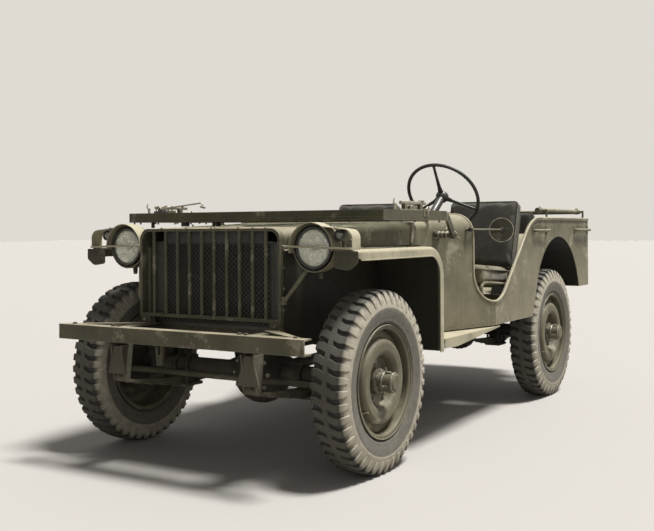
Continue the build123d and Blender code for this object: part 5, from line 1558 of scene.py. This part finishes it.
@dataclass
class BodyFittings:
    """Beads, rivets, latches, handles' plates, the mirror and the top bow's sockets."""

    nodes: dict[str, bpy.types.Object]
    half: float = 680.0
    handle_ends: Sequence[float] = (1654, 1867, 2382, 2640)
    bow_holds: Sequence[float] = (1880, 2560)

    def side_x(self, y: float) -> float:
        """Half width of the body's side at a station."""
        return min(self.half, 500.0 + (y - 512.0) * 180.0 / 591.0)

    def door_bead(self) -> None:
        """Roll the lip round the door openings, over the cowl and along the top rails."""
        opening = [(0, 948, 915), (0, 948, 592), (0, 1184, 592), (0, 1634, 1000), (0, 2655, 1000)]
        outline = reversed(rounded(opening, [155, 205, 290], 14))
        left = [Vector((self.side_x(p.y) + 0.5, p.y, p.z)) for p in outline]
        top, shoulder = 1013.0, 95.0
        middle, height = self.side_x(948) - shoulder, top - shoulder
        for i in range(9):
            a = i / 8 * math.pi / 2
            left.append(Vector((middle + shoulder * math.cos(a), 948, height + shoulder * math.sin(a))))
        right = [Vector(across(p, -1)) for p in reversed(left)]
        bead = Shape().tube(left + right, 5.5)
        for x in (self.half, -self.half):
            bead.tube([(x, 1105, 479), (x, 1105, 588)], 3.5, 8)
        bead.finish("rolled_edge", EDGE_PAINT, 60)

    def fender_beads(self) -> None:
        """Roll the lower edge of the fenders' lips and close their noses."""
        line = rounded([(684, -192, 832), (684, 468, 832), (684, 468, 420)], 90, 12)
        Shape().tube(line, 3.2, 8).mirrored().finish("fender_beads", EDGE_PAINT, 60)
        nose = [(580, -240, 867), (580, -240, 803), (645, -240, 794), (684, -240, 822), (684, -240, 866)]
        plate = Shape().slab(rounded(nose, [10, 30, 12]), (0, 3, 0)).mirrored()
        # The noses take the dark chassis lacquer: painted shade.
        plate.finish("fender_noses", CHASSIS_PAINT, bevel=1)

    def rivets(self) -> None:
        """Rivet the cowl, the side panels and the rear panel."""
        small = Fasteners("body_rivets", BODY_PAINT, Head.RIVET, 5.5, 2.4)
        cowl = [(y, 496) for y in range(640, 1100, 75)]
        panel = [(y, 622) for y in range(1120, 1560, 110)]
        panel += [(y, 982) for y in range(1700, 2680, 140)]
        panel += [(1220 + i * 62, 680 + i * 54) for i in range(6)]
        panel += [(1110, z) for z in range(490, 590, 32)]
        panel += [(2672, z) for z in range(620, 990, 62)]
        panel += [(y, 958) for y in (1700, 1730, 2440, 2470)]
        rows = []
        for side, name in ((1, "left_side_panel"), (-1, "right_side_panel")):
            rows += [("cowl", [(side * 760, y, z) for y, z in cowl], (-side, 0, 0))]
            rows += [(name, [(side * 760, y, z) for y, z in panel], (-side, 0, 0))]
        back = [(x, 2900, z) for z in (978, 612) for x in range(-640, 641, 80)]
        rows += [("rear_panel", back, (0, -1, 0))]
        for node, starts, way in rows:
            for place, aim in Skin(node, self.nodes).meet(starts, way):
                small.at(place, aim)
        small.build()

    def latches(self) -> None:
        """Build the hood's hold-down rods, catches, centre hinge and rivets."""
        rods = Shape().tube(rounded([(598, 366, 878), (600, 373, 940), (600, 379, 972)], 40), 5)
        rods.rod((599, 369, 902), (600, 375, 952), 8.5, 14)
        rods.tube(rounded([(470, 95, 884), (462, 95, 900), (430, 95, 914), (420, 95, 928)], 6), 4)
        rods.mirrored().finish("hood_hold_downs", STEEL)
        feet = Shape()
        for x, y in ((598, 366), (472, 95)):
            feet.box((x - 20, x + 20), (y - 14, y + 14), (869.8, 873))
            feet.box((x - 8, x + 8), (y - 8, y + 8), (872, 886))
        feet.mirrored().finish("hold_down_feet", BODY_PAINT, bevel=0.8)
        hood = Skin("hood", self.nodes)
        line = [place for place, _ in hood.meet([(0, y, 1200) for y in range(-210, 560, 35)], (0, 0, -1))]
        Shape().tube(line, 4.5).finish("hood_hinge", BODY_PAINT)
        dots = Fasteners("hood_rivets", BODY_PAINT, Head.RIVET, 4.5, 2.0)
        starts = [(x, y, 1200) for x in (-22, 22, -330, 330) for y in range(-200, 560, 70)]
        for place, aim in hood.meet(starts, (0, 0, -1)):
            dots.at(place, aim)
        dots.build()

    def handles(self) -> None:
        """Put riveted plates under the body handles' ends."""
        plates = Shape()
        bolts = Fasteners("handle_bolts", CHASSIS_PAINT, Head.RIVET, 5.0, 3.0)
        for y in self.handle_ends:
            plates.box((679, 683.5), (y - 15, y + 15), (908, 954))
            for z in (914, 948):
                bolts.at((683.5, y, z), (1, 0, 0), pair=True)
        plates.mirrored().finish("handle_plates", BODY_PAINT, bevel=1)
        bolts.build()

    def mirror(self) -> None:
        """Build the mirror's rim, glass, ball and clamp."""
        middle, way = Vector((652, 1265, 937)), Vector((-0.35, 1, 0)).normalized()
        rim = ((6.5, 55.0), (8.8, 57.0), (8.8, 60.0), (6.0, 61.0), (-1.5, 61.0), (-1.5, 58.0))
        Shape().lathe(rim, middle, way, 48).finish("mirror_rim", STEEL)
        face = ((7.0, 0.01), (7.0, 56.0), (7.6, 56.0), (7.6, 0.01))
        Shape().lathe(face, middle, way, 40).finish("mirror_glass", BRIGHT_STEEL)
        clamp = Shape().rod(middle - way * 14, middle - way * 1, 11, 16, 15)
        clamp.rod((640, 892, 940), (640, 908, 940), 10, 14).bolt((648, 900, 940), (1, 0, 0), 12, 6)
        clamp.finish("mirror_clamp", DARK_ENAMEL)

    def bow(self) -> None:
        """Build the top bow's sockets, straps and bolts."""
        made = Shape()
        bolts = Fasteners("bow_bolts", STEEL, Head.BOLT, 6.0, 5.0)
        for y in self.bow_holds:
            made.rod((640, y - 17, 1042), (640, y + 17, 1042), 16.5, 20)
            made.box((668, 684), (y - 18, y + 18), (996, 1003))
            bolts.at((640, y, 1058), (0, 0, 1), pair=True)
        made.rod((640, 1838, 1042), (640, 1852, 1042), 15.5, 18)
        made.mirrored().finish("bow_sockets", BODY_PAINT, bevel=0.8)
        bolts.build()

    def build(self) -> None:
        """Make the body's fittings."""
        self.door_bead()
        self.fender_beads()
        self.rivets()
        self.latches()
        self.handles()
        self.mirror()
        self.bow()


# Cockpit


@dataclass
class Cockpit:
    """Steering wheel, dials, knobs, pedals' rubbers and blank plates."""

    nodes: dict[str, bpy.types.Object]
    centre: tuple[float, float, float] = (335.0, 1262.0, 1117.0)
    slope: float = 37.0
    rim_major: float = 189.0
    rim_minor: float = 9.0
    grips: int = 60
    # Stations along a spoke: distance out, half width, half depth and height.
    spoke: Sequence[Point] = (
        (20, 17, 9, -12), (60, 10, 7, -11), (120, 7.5, 6, -7), (172, 7.5, 6, -2), (188, 11, 6, 0),
    )
    # Dials: x, z and radius.
    gauges: Sequence[Point] = ((0, 946, 40), (-95, 962, 24), (-95, 908, 24), (95, 962, 24), (95, 908, 24))

    def wheel_matrix(self) -> Matrix:
        """Place the steering wheel's local frame, z along the column and y upwards.

        Returns:
            The placing.
        """
        a = math.radians(self.slope)
        z = Vector((0, math.cos(a), math.sin(a)))
        x = Vector((1, 0, 0))
        turn = Matrix((x, z.cross(x), z)).transposed().to_4x4()
        return Matrix.Translation(self.centre) @ turn

    def steering_wheel(self) -> None:
        """Build the rim with its finger grips, three spokes, the hub and the horn button."""
        rings = []
        steps = self.grips * 4
        for i in range(steps):
            a = math.tau * i / steps
            out = Vector((math.cos(a), math.sin(a), 0))
            wave = 0.85 * math.sin(a * self.grips)
            ring = []
            for x, z in circle(self.rim_minor, 14):
                under = max(0.0, -z / self.rim_minor)
                grow = 1 + under * wave / self.rim_minor * 1.4 - 0.06 * under
                ring.append(out * (self.rim_major + x * grow) + Vector((0, 0, z * grow)))
            rings.append(ring)
        made = Shape().skin(rings, loop=True)
        for angle in (30, 150, 270):
            a = math.radians(angle)
            way, side = Vector((math.cos(a), math.sin(a), 0)), Vector((-math.sin(a), math.cos(a), 0))
            stations = []
            for reach, wide, deep, drop in self.spoke:
                middle = way * reach + Vector((0, 0, drop))
                ring = [middle + side * (wide * x) + Vector((0, 0, deep * z)) for x, z in circle(1.0, 12)]
                stations.append(ring)
            made.skin(stations)
        hub = ((-34, 0.01), (-34, 24), (-26, 30), (-12, 34), (-2, 32), (3, 24), (3, 0.01))
        made.lathe(hub, axis=(0, 0, 1), steps=36).place(self.wheel_matrix())
        wheel = made.finish("steering_wheel_rim", HARD_RUBBER, 50, Body.STEERING_WHEEL)
        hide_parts("steering_wheel")
        button = Shape()
        for profile in (
            ((2, 0.01), (2, 17), (6, 16), (9, 9), (10, 0.01)),
            ((1, 24), (3.5, 24), (5, 20), (3.5, 17), (1, 17)),
        ):
            button.lathe(profile, axis=(0, 0, 1), steps=28)
        button.place(self.wheel_matrix()).finish("horn_button", STEEL, 50, Body.STEERING_WHEEL)

    def dials(self, panel: Skin) -> None:
        """Build the dials' rims, faces, marks and needles.

        Args:
            panel: The instrument panel's surface.
        """
        faces, rims, needles = Shape(), Shape(), Shape()
        for x, z, size in self.gauges:
            for place, way in panel.meet([(x, 1500, z)], (0, -1, 0)):
                rim = ((-1, size - 3), (6, size - 3), (7, size), (5, size + 4), (-1, size + 5))
                rims.lathe(rim, place, way, 40)
                faces.lathe(((0.2, 0.01), (0.2, size - 2), (1.4, size - 2), (1.4, 0.01)), place, way, 36)
                # angle, height over the panel, share of the radius from and to, radius and sides
                hands = [(-130 + i * 32.5, 1.6, 0.68, 0.86, 0.9, 5) for i in range(9)]
                for angle, over, start, end, radius, sides in hands + [(-60 + x, 3, 0.0, 0.7, 1.2, 6)]:
                    a = math.radians(angle)
                    turn, foot = Vector((math.sin(a), 0, math.cos(a))) * size, place + way * over
                    needles.rod(foot + turn * start, foot + turn * end, radius, sides)
                needles.rod(place + way * 1, place + way * 4, 3.5, 12)
        rims.finish("dial_rims", DARK_ENAMEL)
        faces.finish("dial_faces", DIAL_PAINT)
        needles.finish("dial_marks", DARK_ENAMEL)

    def knobs(self, panel: Skin) -> None:
        """Build the panel's knobs and the levers' balls.

        Args:
            panel: The instrument panel's surface.
        """
        knobs = Shape()
        knob = ((14, 0.01), (14, 10), (18, 12), (24, 11), (27, 6), (28, 0.01))
        for place, way in panel.meet([(x, 1500, 905) for x in (-180, -215, 165, 200, 235)], (0, -1, 0)):
            knobs.rod(place, place + way * 16, 5, 12).lathe(knob, place, way, 18)
        ball = ((-9, 0.01), (-9, 6), (-3, 12), (4, 13), (11, 9), (14, 0.01))
        for centre in ((0, 900, 850), (55, 880, 790), (95, 900, 790)):
            knobs.lathe(ball, centre, (0, 0.25, 1), 18)
        knobs.finish("panel_knobs", HARD_RUBBER)

    def pedals(self) -> None:
        """Lay ribbed rubbers on the pedals."""
        rubbers = Shape()
        face, along = Vector((0, 0.69, 0.724)), Vector((0, 0.724, -0.69))
        for x in (240, 400, 470):
            middle = Vector((x, 700, 650)) + face * 4.2
            for step in range(-3, 4):
                low = middle + along * (step * 9 - 3)
                ring = ((low, -25), (low + along * 6, -25), (low + along * 6, 25), (low, 25))
                rubbers.slab([p + Vector((across, 0, 0)) for p, across in ring], face * 3)
        rubbers.finish("pedal_rubbers", SOFT_RUBBER)

    def plates(self, panel: Skin) -> None:
        """Screw blank plates on the panel.

        Args:
            panel: The instrument panel's surface.
        """
        plates = Shape()
        for x in (-400, -300):
            for place, _ in panel.meet([(x, 1500, 940)], (0, -1, 0)):
                plates.box((x - 38, x + 38), (place.y - 0.5, place.y + 1.6), (918, 962))
        plates.finish("blank_plates", GALVANISED, bevel=0.5)

    def build(self) -> None:
        """Make the cockpit's pieces."""
        panel = Skin("instrument_panel", self.nodes)
        self.steering_wheel()
        self.dials(panel)
        self.knobs(panel)
        self.pedals()
        self.plates(panel)


# Seats


@dataclass
class Pad:
    """A stuffed cushion or back in a canvas cover, swollen by cloth simulation."""

    name: str
    node: str
    origin: tuple[float, float, float]
    width: float
    length: float
    thickness: float
    tilt: float
    finish: Finish
    corner: float = 36.0
    voxel: float = 6.0
    inset: float = 7.0
    cap: float = 13.0
    stiffness: float = 18.0
    pressure: float = 4.0
    frames: int = 20

    def matrix(self) -> Matrix:
        """Placing of the pad's frame: x across, y along its length, z out of its face."""
        return Matrix.Translation(self.origin) @ Matrix.Rotation(math.radians(self.tilt), 4, "X")

    def start(self) -> bpy.types.Mesh:
        """Build the smaller block that is blown up.

        Returns:
            The block, in metres of the pad's own frame.
        """
        block = bmesh.new()
        bmesh.ops.create_cube(block, size=1.0)
        deep = self.thickness - self.inset
        size = (self.width - 2 * self.inset, self.length - 2 * self.inset, deep)
        bmesh.ops.scale(block, vec=size, verts=block.verts)
        bmesh.ops.translate(block, vec=(0, self.length / 2, deep / 2), verts=block.verts)
        upright = [e for e in block.edges if abs(e.verts[0].co.z - e.verts[1].co.z) > 1]
        reach = self.corner - self.inset
        bmesh.ops.bevel(block, geom=upright, offset=reach, segments=6, affect="EDGES", profile=0.5)
        rim = [e for e in block.edges if e.calc_face_angle(0) > math.radians(60)]
        bmesh.ops.bevel(block, geom=rim, offset=9.0, segments=3, affect="EDGES", profile=0.5)
        block.transform(Matrix.Scale(METRE, 4))
        mesh = bpy.data.meshes.new("block")
        block.to_mesh(mesh)
        block.free()
        return mesh

    def with_modifier(self, mesh: bpy.types.Mesh, kind: str, **settings: Any) -> bpy.types.Mesh:
        """Apply one modifier to a mesh, and drop the mesh.

        Args:
            mesh: The mesh.
            kind: The modifier's type.
            **settings: The modifier's properties.

        Returns:
            The new mesh.
        """
        holder = bpy.data.objects.new("holder", mesh)
        bpy.context.scene.collection.objects.link(holder)
        tool = holder.modifiers.new("tool", kind)
        for key, value in settings.items():
            setattr(tool, key, value)
        graph = bpy.context.evaluated_depsgraph_get()
        made = bpy.data.meshes.new_from_object(holder.evaluated_get(graph))
        bpy.data.objects.remove(holder)
        bpy.data.meshes.remove(mesh)
        return made

    def blow_up(self, mesh: bpy.types.Mesh) -> None:
        """Swell a mesh under inner pressure and cap how far each point goes.

        Args:
            mesh: The mesh.
        """
        holder = bpy.data.objects.new("holder", mesh)
        bpy.context.scene.collection.objects.link(holder)
        cloth = holder.modifiers.new("cloth", "CLOTH").settings
        cloth.quality = 5
        cloth.mass = 0.3
        cloth.tension_stiffness = self.stiffness
        cloth.compression_stiffness = self.stiffness
        cloth.bending_stiffness = 1.2
        cloth.use_pressure = True
        cloth.uniform_pressure_force = self.pressure
        cloth.effector_weights.gravity = 0.0
        scene = bpy.context.scene
        for frame in range(1, self.frames + 1):
            scene.frame_set(frame)
        swollen = holder.evaluated_get(bpy.context.evaluated_depsgraph_get()).data
        limit = self.cap / 1000
        for vert, moved in zip(mesh.vertices, swollen.vertices):
            step = moved.co - vert.co
            if step.length > limit:
                step *= limit / step.length
            vert.co = vert.co + step
        scene.frame_set(1)
        bpy.data.objects.remove(holder)

    def seams(self, mesh: bpy.types.Mesh) -> None:
        """Draw the cover in along its sewn edge and let the face crown.

        Args:
            mesh: The cover.
        """
        crown, sink, draw = 0.005, 0.002, 0.0022
        for vert in mesh.vertices:
            x, y, z = (c * 1000 for c in vert.co)
            u = min(abs(x) / (self.width / 2), 1.0)
            v = min(abs(y / self.length - 0.5) * 2, 1.0)
            if z > self.thickness * 0.55:
                vert.co.z += crown * ((1 - u**3) * (1 - v**3)) - sink
            drawn = draw * math.exp(-(((z - self.thickness * 0.86) / 4.5) ** 2))
            if u > 0.8:
                vert.co.x -= drawn * math.copysign(1, x)
            if v > 0.8:
                vert.co.y -= drawn * math.copysign(1, vert.co.y - self.length / 2000)

    def piping(self, surface: BVHTree) -> None:
        """Sew a cord along the face's edge, lying on the cover.

        Args:
            surface: The cover's surface, in metres of the pad's own frame.
        """
        half, long = self.width / 2 - 3, self.length - 3
        outline = [(0, 3, 0), (half, 3, 0), (half, long, 0), (-half, long, 0), (-half, 3, 0), (-1, 3, 0)]
        line = []
        for point in rounded(outline, self.corner, 8):
            near = surface.find_nearest(Vector((point.x, point.y, self.thickness * 0.9)) / 1000)
            line.append((near[0] + near[1] * 0.0012) * 1000)
        cord = Shape().tube(line, 4.2, 8, loop=True).place(self.matrix())
        cord.finish(f"{self.name}_piping", PIPING_CANVAS, 60)

    def build(self) -> None:
        """Make the pad and its piping."""
        mesh = self.with_modifier(self.start(), "REMESH", mode="VOXEL", voxel_size=self.voxel / 1000)
        self.blow_up(mesh)
        self.seams(mesh)
        mesh = self.with_modifier(mesh, "SUBSURF", levels=1, render_levels=1)
        self.piping(BVHTree.FromPolygons([v.co for v in mesh.vertices], [p.vertices for p in mesh.polygons]))
        mesh.transform(TO_FRAME @ self.matrix() @ Matrix.Scale(1000, 4))
        piece = settle(mesh, self.name, self.finish, 80, Body.CHASSIS)
        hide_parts(self.node)


@dataclass
class Seats:
    """The two front seats and the rear bench."""

    def build(self) -> None:
        """Make all pads, at the places that the frame holds for them."""
        pads = []
        for side, x in (("driver", 414.5), ("passenger", -310.5)):
            pads += [
                Pad(f"{side}_cushion", "front_seat_cushions", (x, 1105, 690), 419, 387, 72, -4, SEAT_CANVAS),
                Pad(f"{side}_back", "front_seat_backs", (x, 1560, 702), 419, 405, 66, 72, BACK_CANVAS, 34),
            ]
        pads += [
            Pad("rear_cushion", "rear_seat_cushion", (0, 2150, 740), 760, 350, 80, -3, SEAT_CANVAS, 36, 7),
            Pad("rear_back", "rear_seat_back", (0, 2560, 748), 760, 310, 60, 80, BACK_CANVAS, 40, 7),
        ]
        for pad in pads:
            pad.build()


# The CAD nodes' finishes

NODE_FINISHES: Sequence[tuple[Finish, str]] = (
    (FRONT_PAINT, "mirror front_bumper radiator_guard windscreen_frame"),
    (FENDER_PAINT, "left_fender right_fender steps"),
    (WELL_PAINT, "wheel_wells"),
    (EDGE_PAINT, "lamp_guards"),
    (DARK_ENAMEL, "radiator steering_column"),
    (HARD_RUBBER, "controls steering_wheel"),
    (
        CAST_IRON,
        "engine_block gearbox propeller_shafts exhaust front_axle rear_axle left_knuckle right_knuckle",
    ),
    (CHASSIS_PAINT, "tie_rod leaf_springs frame_rails cross_members"),
    (PANE, "windscreen_glass"),
    (LENS, "lamp_lenses"),
    (SEAT_CANVAS, "front_seat_cushions rear_seat_cushion"),
    (BACK_CANVAS, "front_seat_backs rear_seat_back"),
    (TYRE_RUBBER, "front_left_tyre front_right_tyre rear_left_tyre rear_right_tyre spare_tyre"),
    (WHEEL_PAINT, "front_left_wheel front_right_wheel rear_left_wheel rear_right_wheel spare_wheel"),
)


def dress_nodes(nodes: dict[str, bpy.types.Object]) -> None:
    """Give every CAD node its finish.

    Args:
        nodes: The frame's nodes by name.
    """
    finishes = {name: finish for finish, names in NODE_FINISHES for name in names.split()}
    for name, node in nodes.items():
        finish = finishes.get(name, BODY_PAINT)
        for slot in node.material_slots:
            slot.material = finish.material()
        LOG.info("%s dressed in %s", name, finish.name)


# Floor, lights and camera


@dataclass
class Studio:
    """A plain pale floor, soft lights and the camera at the photograph's angle."""

    eye: tuple[float, float, float] = (2.39676, -4.43419, 0.95091)
    yaw: float = 31.65
    pitch: float = -0.25
    roll: float = -0.34
    lens: float = 52.256
    shift: tuple[float, float] = (0.0021, -0.0635)
    floor_reach: float = 60.0
    floor_colour: str = "#96928c"
    backdrop_colour: str = "#dfdbd3"
    sun: tuple[float, float, float] = (0.3, 0.17, 0.93)
    sun_power: float = 7.2
    sun_width: float = 14.0
    fill_place: tuple[float, float, float] = (4.5, -7.5, 3.0)
    fill_target: tuple[float, float, float] = (0.0, 0.0, 0.6)
    fill_size: float = 4.0
    fill_power: float = 90.0
    front_sky: float = 0.03
    back_sky: float = 0.8

    def add(self, name: str, data: Any, matrix: Matrix) -> bpy.types.Object:
        """Add an object to the scene.

        Args:
            name: Its name.
            data: Its camera, mesh or light.
            matrix: Its placing.

        Returns:
            The object.
        """
        made = bpy.data.objects.new(name, data)
        made.matrix_world = matrix
        bpy.context.scene.collection.objects.link(made)
        return made

    def camera(self) -> None:
        """Set the camera where the photograph was taken from."""
        data = bpy.data.cameras.new("camera")
        data.sensor_width = 36.0
        data.lens = self.lens
        data.shift_x, data.shift_y = self.shift
        data.clip_end = 200.0
        yaw, pitch = math.radians(self.yaw), math.radians(self.pitch)
        way = (-math.sin(yaw) * math.cos(pitch), math.cos(yaw) * math.cos(pitch), -math.sin(pitch))
        turn = Vector(way).to_track_quat("-Z", "Y").to_matrix().to_4x4()
        tilt = Matrix.Rotation(math.radians(self.roll), 4, "Z")
        where = Matrix.Translation(self.eye) @ turn @ tilt
        bpy.context.scene.camera = self.add("camera", data, where)

    def floor(self) -> None:
        """Lay a wide pale floor."""
        mesh = bpy.data.meshes.new("floor")
        far = self.floor_reach
        corners = [(-far, -far, 0), (far, -far, 0), (far, far, 0), (-far, far, 0)]
        mesh.from_pydata(corners, [], [(0, 1, 2, 3)])
        material = bpy.data.materials.new("pale_floor_paper")
        material.use_nodes = True
        tree = material.node_tree
        tree.nodes.clear()
        matt = {"Base Color": linear(self.floor_colour), "Roughness": 0.9}
        add_node(tree, "OutputMaterial", {"Surface": add_node(tree, "BsdfPrincipled", matt)})
        mesh.materials.append(material)
        floor = self.add("floor", mesh, Matrix())

    def lights(self) -> None:
        """Light the car from its left side, with a weak soft fill from the front."""
        sun = bpy.data.lights.new("key", "SUN")
        sun.energy = self.sun_power
        sun.angle = math.radians(self.sun_width)
        self.add("key", sun, Vector(self.sun).to_track_quat("Z", "Y").to_matrix().to_4x4())
        fill = bpy.data.lights.new("fill", "AREA")
        fill.size = self.fill_size
        fill.energy = self.fill_power
        way = Vector(self.fill_target) - Vector(self.fill_place)
        turn = way.to_track_quat("-Z", "Y").to_matrix().to_4x4()
        self.add("fill", fill, Matrix.Translation(self.fill_place) @ turn)

    def sky(self) -> None:
        """Light the car from a sky that is brighter behind it, and show a plain backdrop."""
        world = bpy.data.worlds.new("studio")
        bpy.context.scene.world = world
        world.use_nodes = True
        tree = world.node_tree
        tree.nodes.clear()
        rays = add_node(tree, "LightPath").outputs
        seen = rays["Is Camera Ray"]
        for other in ("Is Transmission Ray", "Is Glossy Ray"):
            seen = add_node(tree, "Math", {0: seen, 1: rays[other]}, operation="MAXIMUM")
        facing = add_node(tree, "SeparateXYZ", {0: add_node(tree, "TexCoord").outputs[0]})
        bright = {0: facing.outputs[1], 1: -0.6, 2: 0.9, 3: self.front_sky, 4: self.back_sky}
        lit = {"Color": (1, 1, 1, 1), "Strength": add_node(tree, "MapRange", bright)}
        shown = {"Color": linear(self.backdrop_colour), "Strength": 1.0}
        mixed = {0: seen, 1: add_node(tree, "Background", lit), 2: add_node(tree, "Background", shown)}
        add_node(tree, "OutputWorld", {"Surface": add_node(tree, "MixShader", mixed)})

    def build(self) -> None:
        """Make the whole studio."""
        bpy.context.scene.view_settings.view_transform = "Standard"
        self.camera()
        self.floor()
        self.lights()
        self.sky()


def main() -> None:
    """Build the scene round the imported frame."""
    logging.basicConfig(level=logging.INFO, format="%(message)s")
    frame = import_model()
    nodes = frame["nodes"]
    Studio().build()
    dress_nodes(nodes)
    for part in (
        RoadWheels(),
        Lamps(),
        Front(),
        Underside(nodes),
        Windscreen(),
        BodyFittings(nodes),
        Cockpit(nodes),
        Seats(),
    ):
        part.build()


if __name__ == "__main__":
    main()
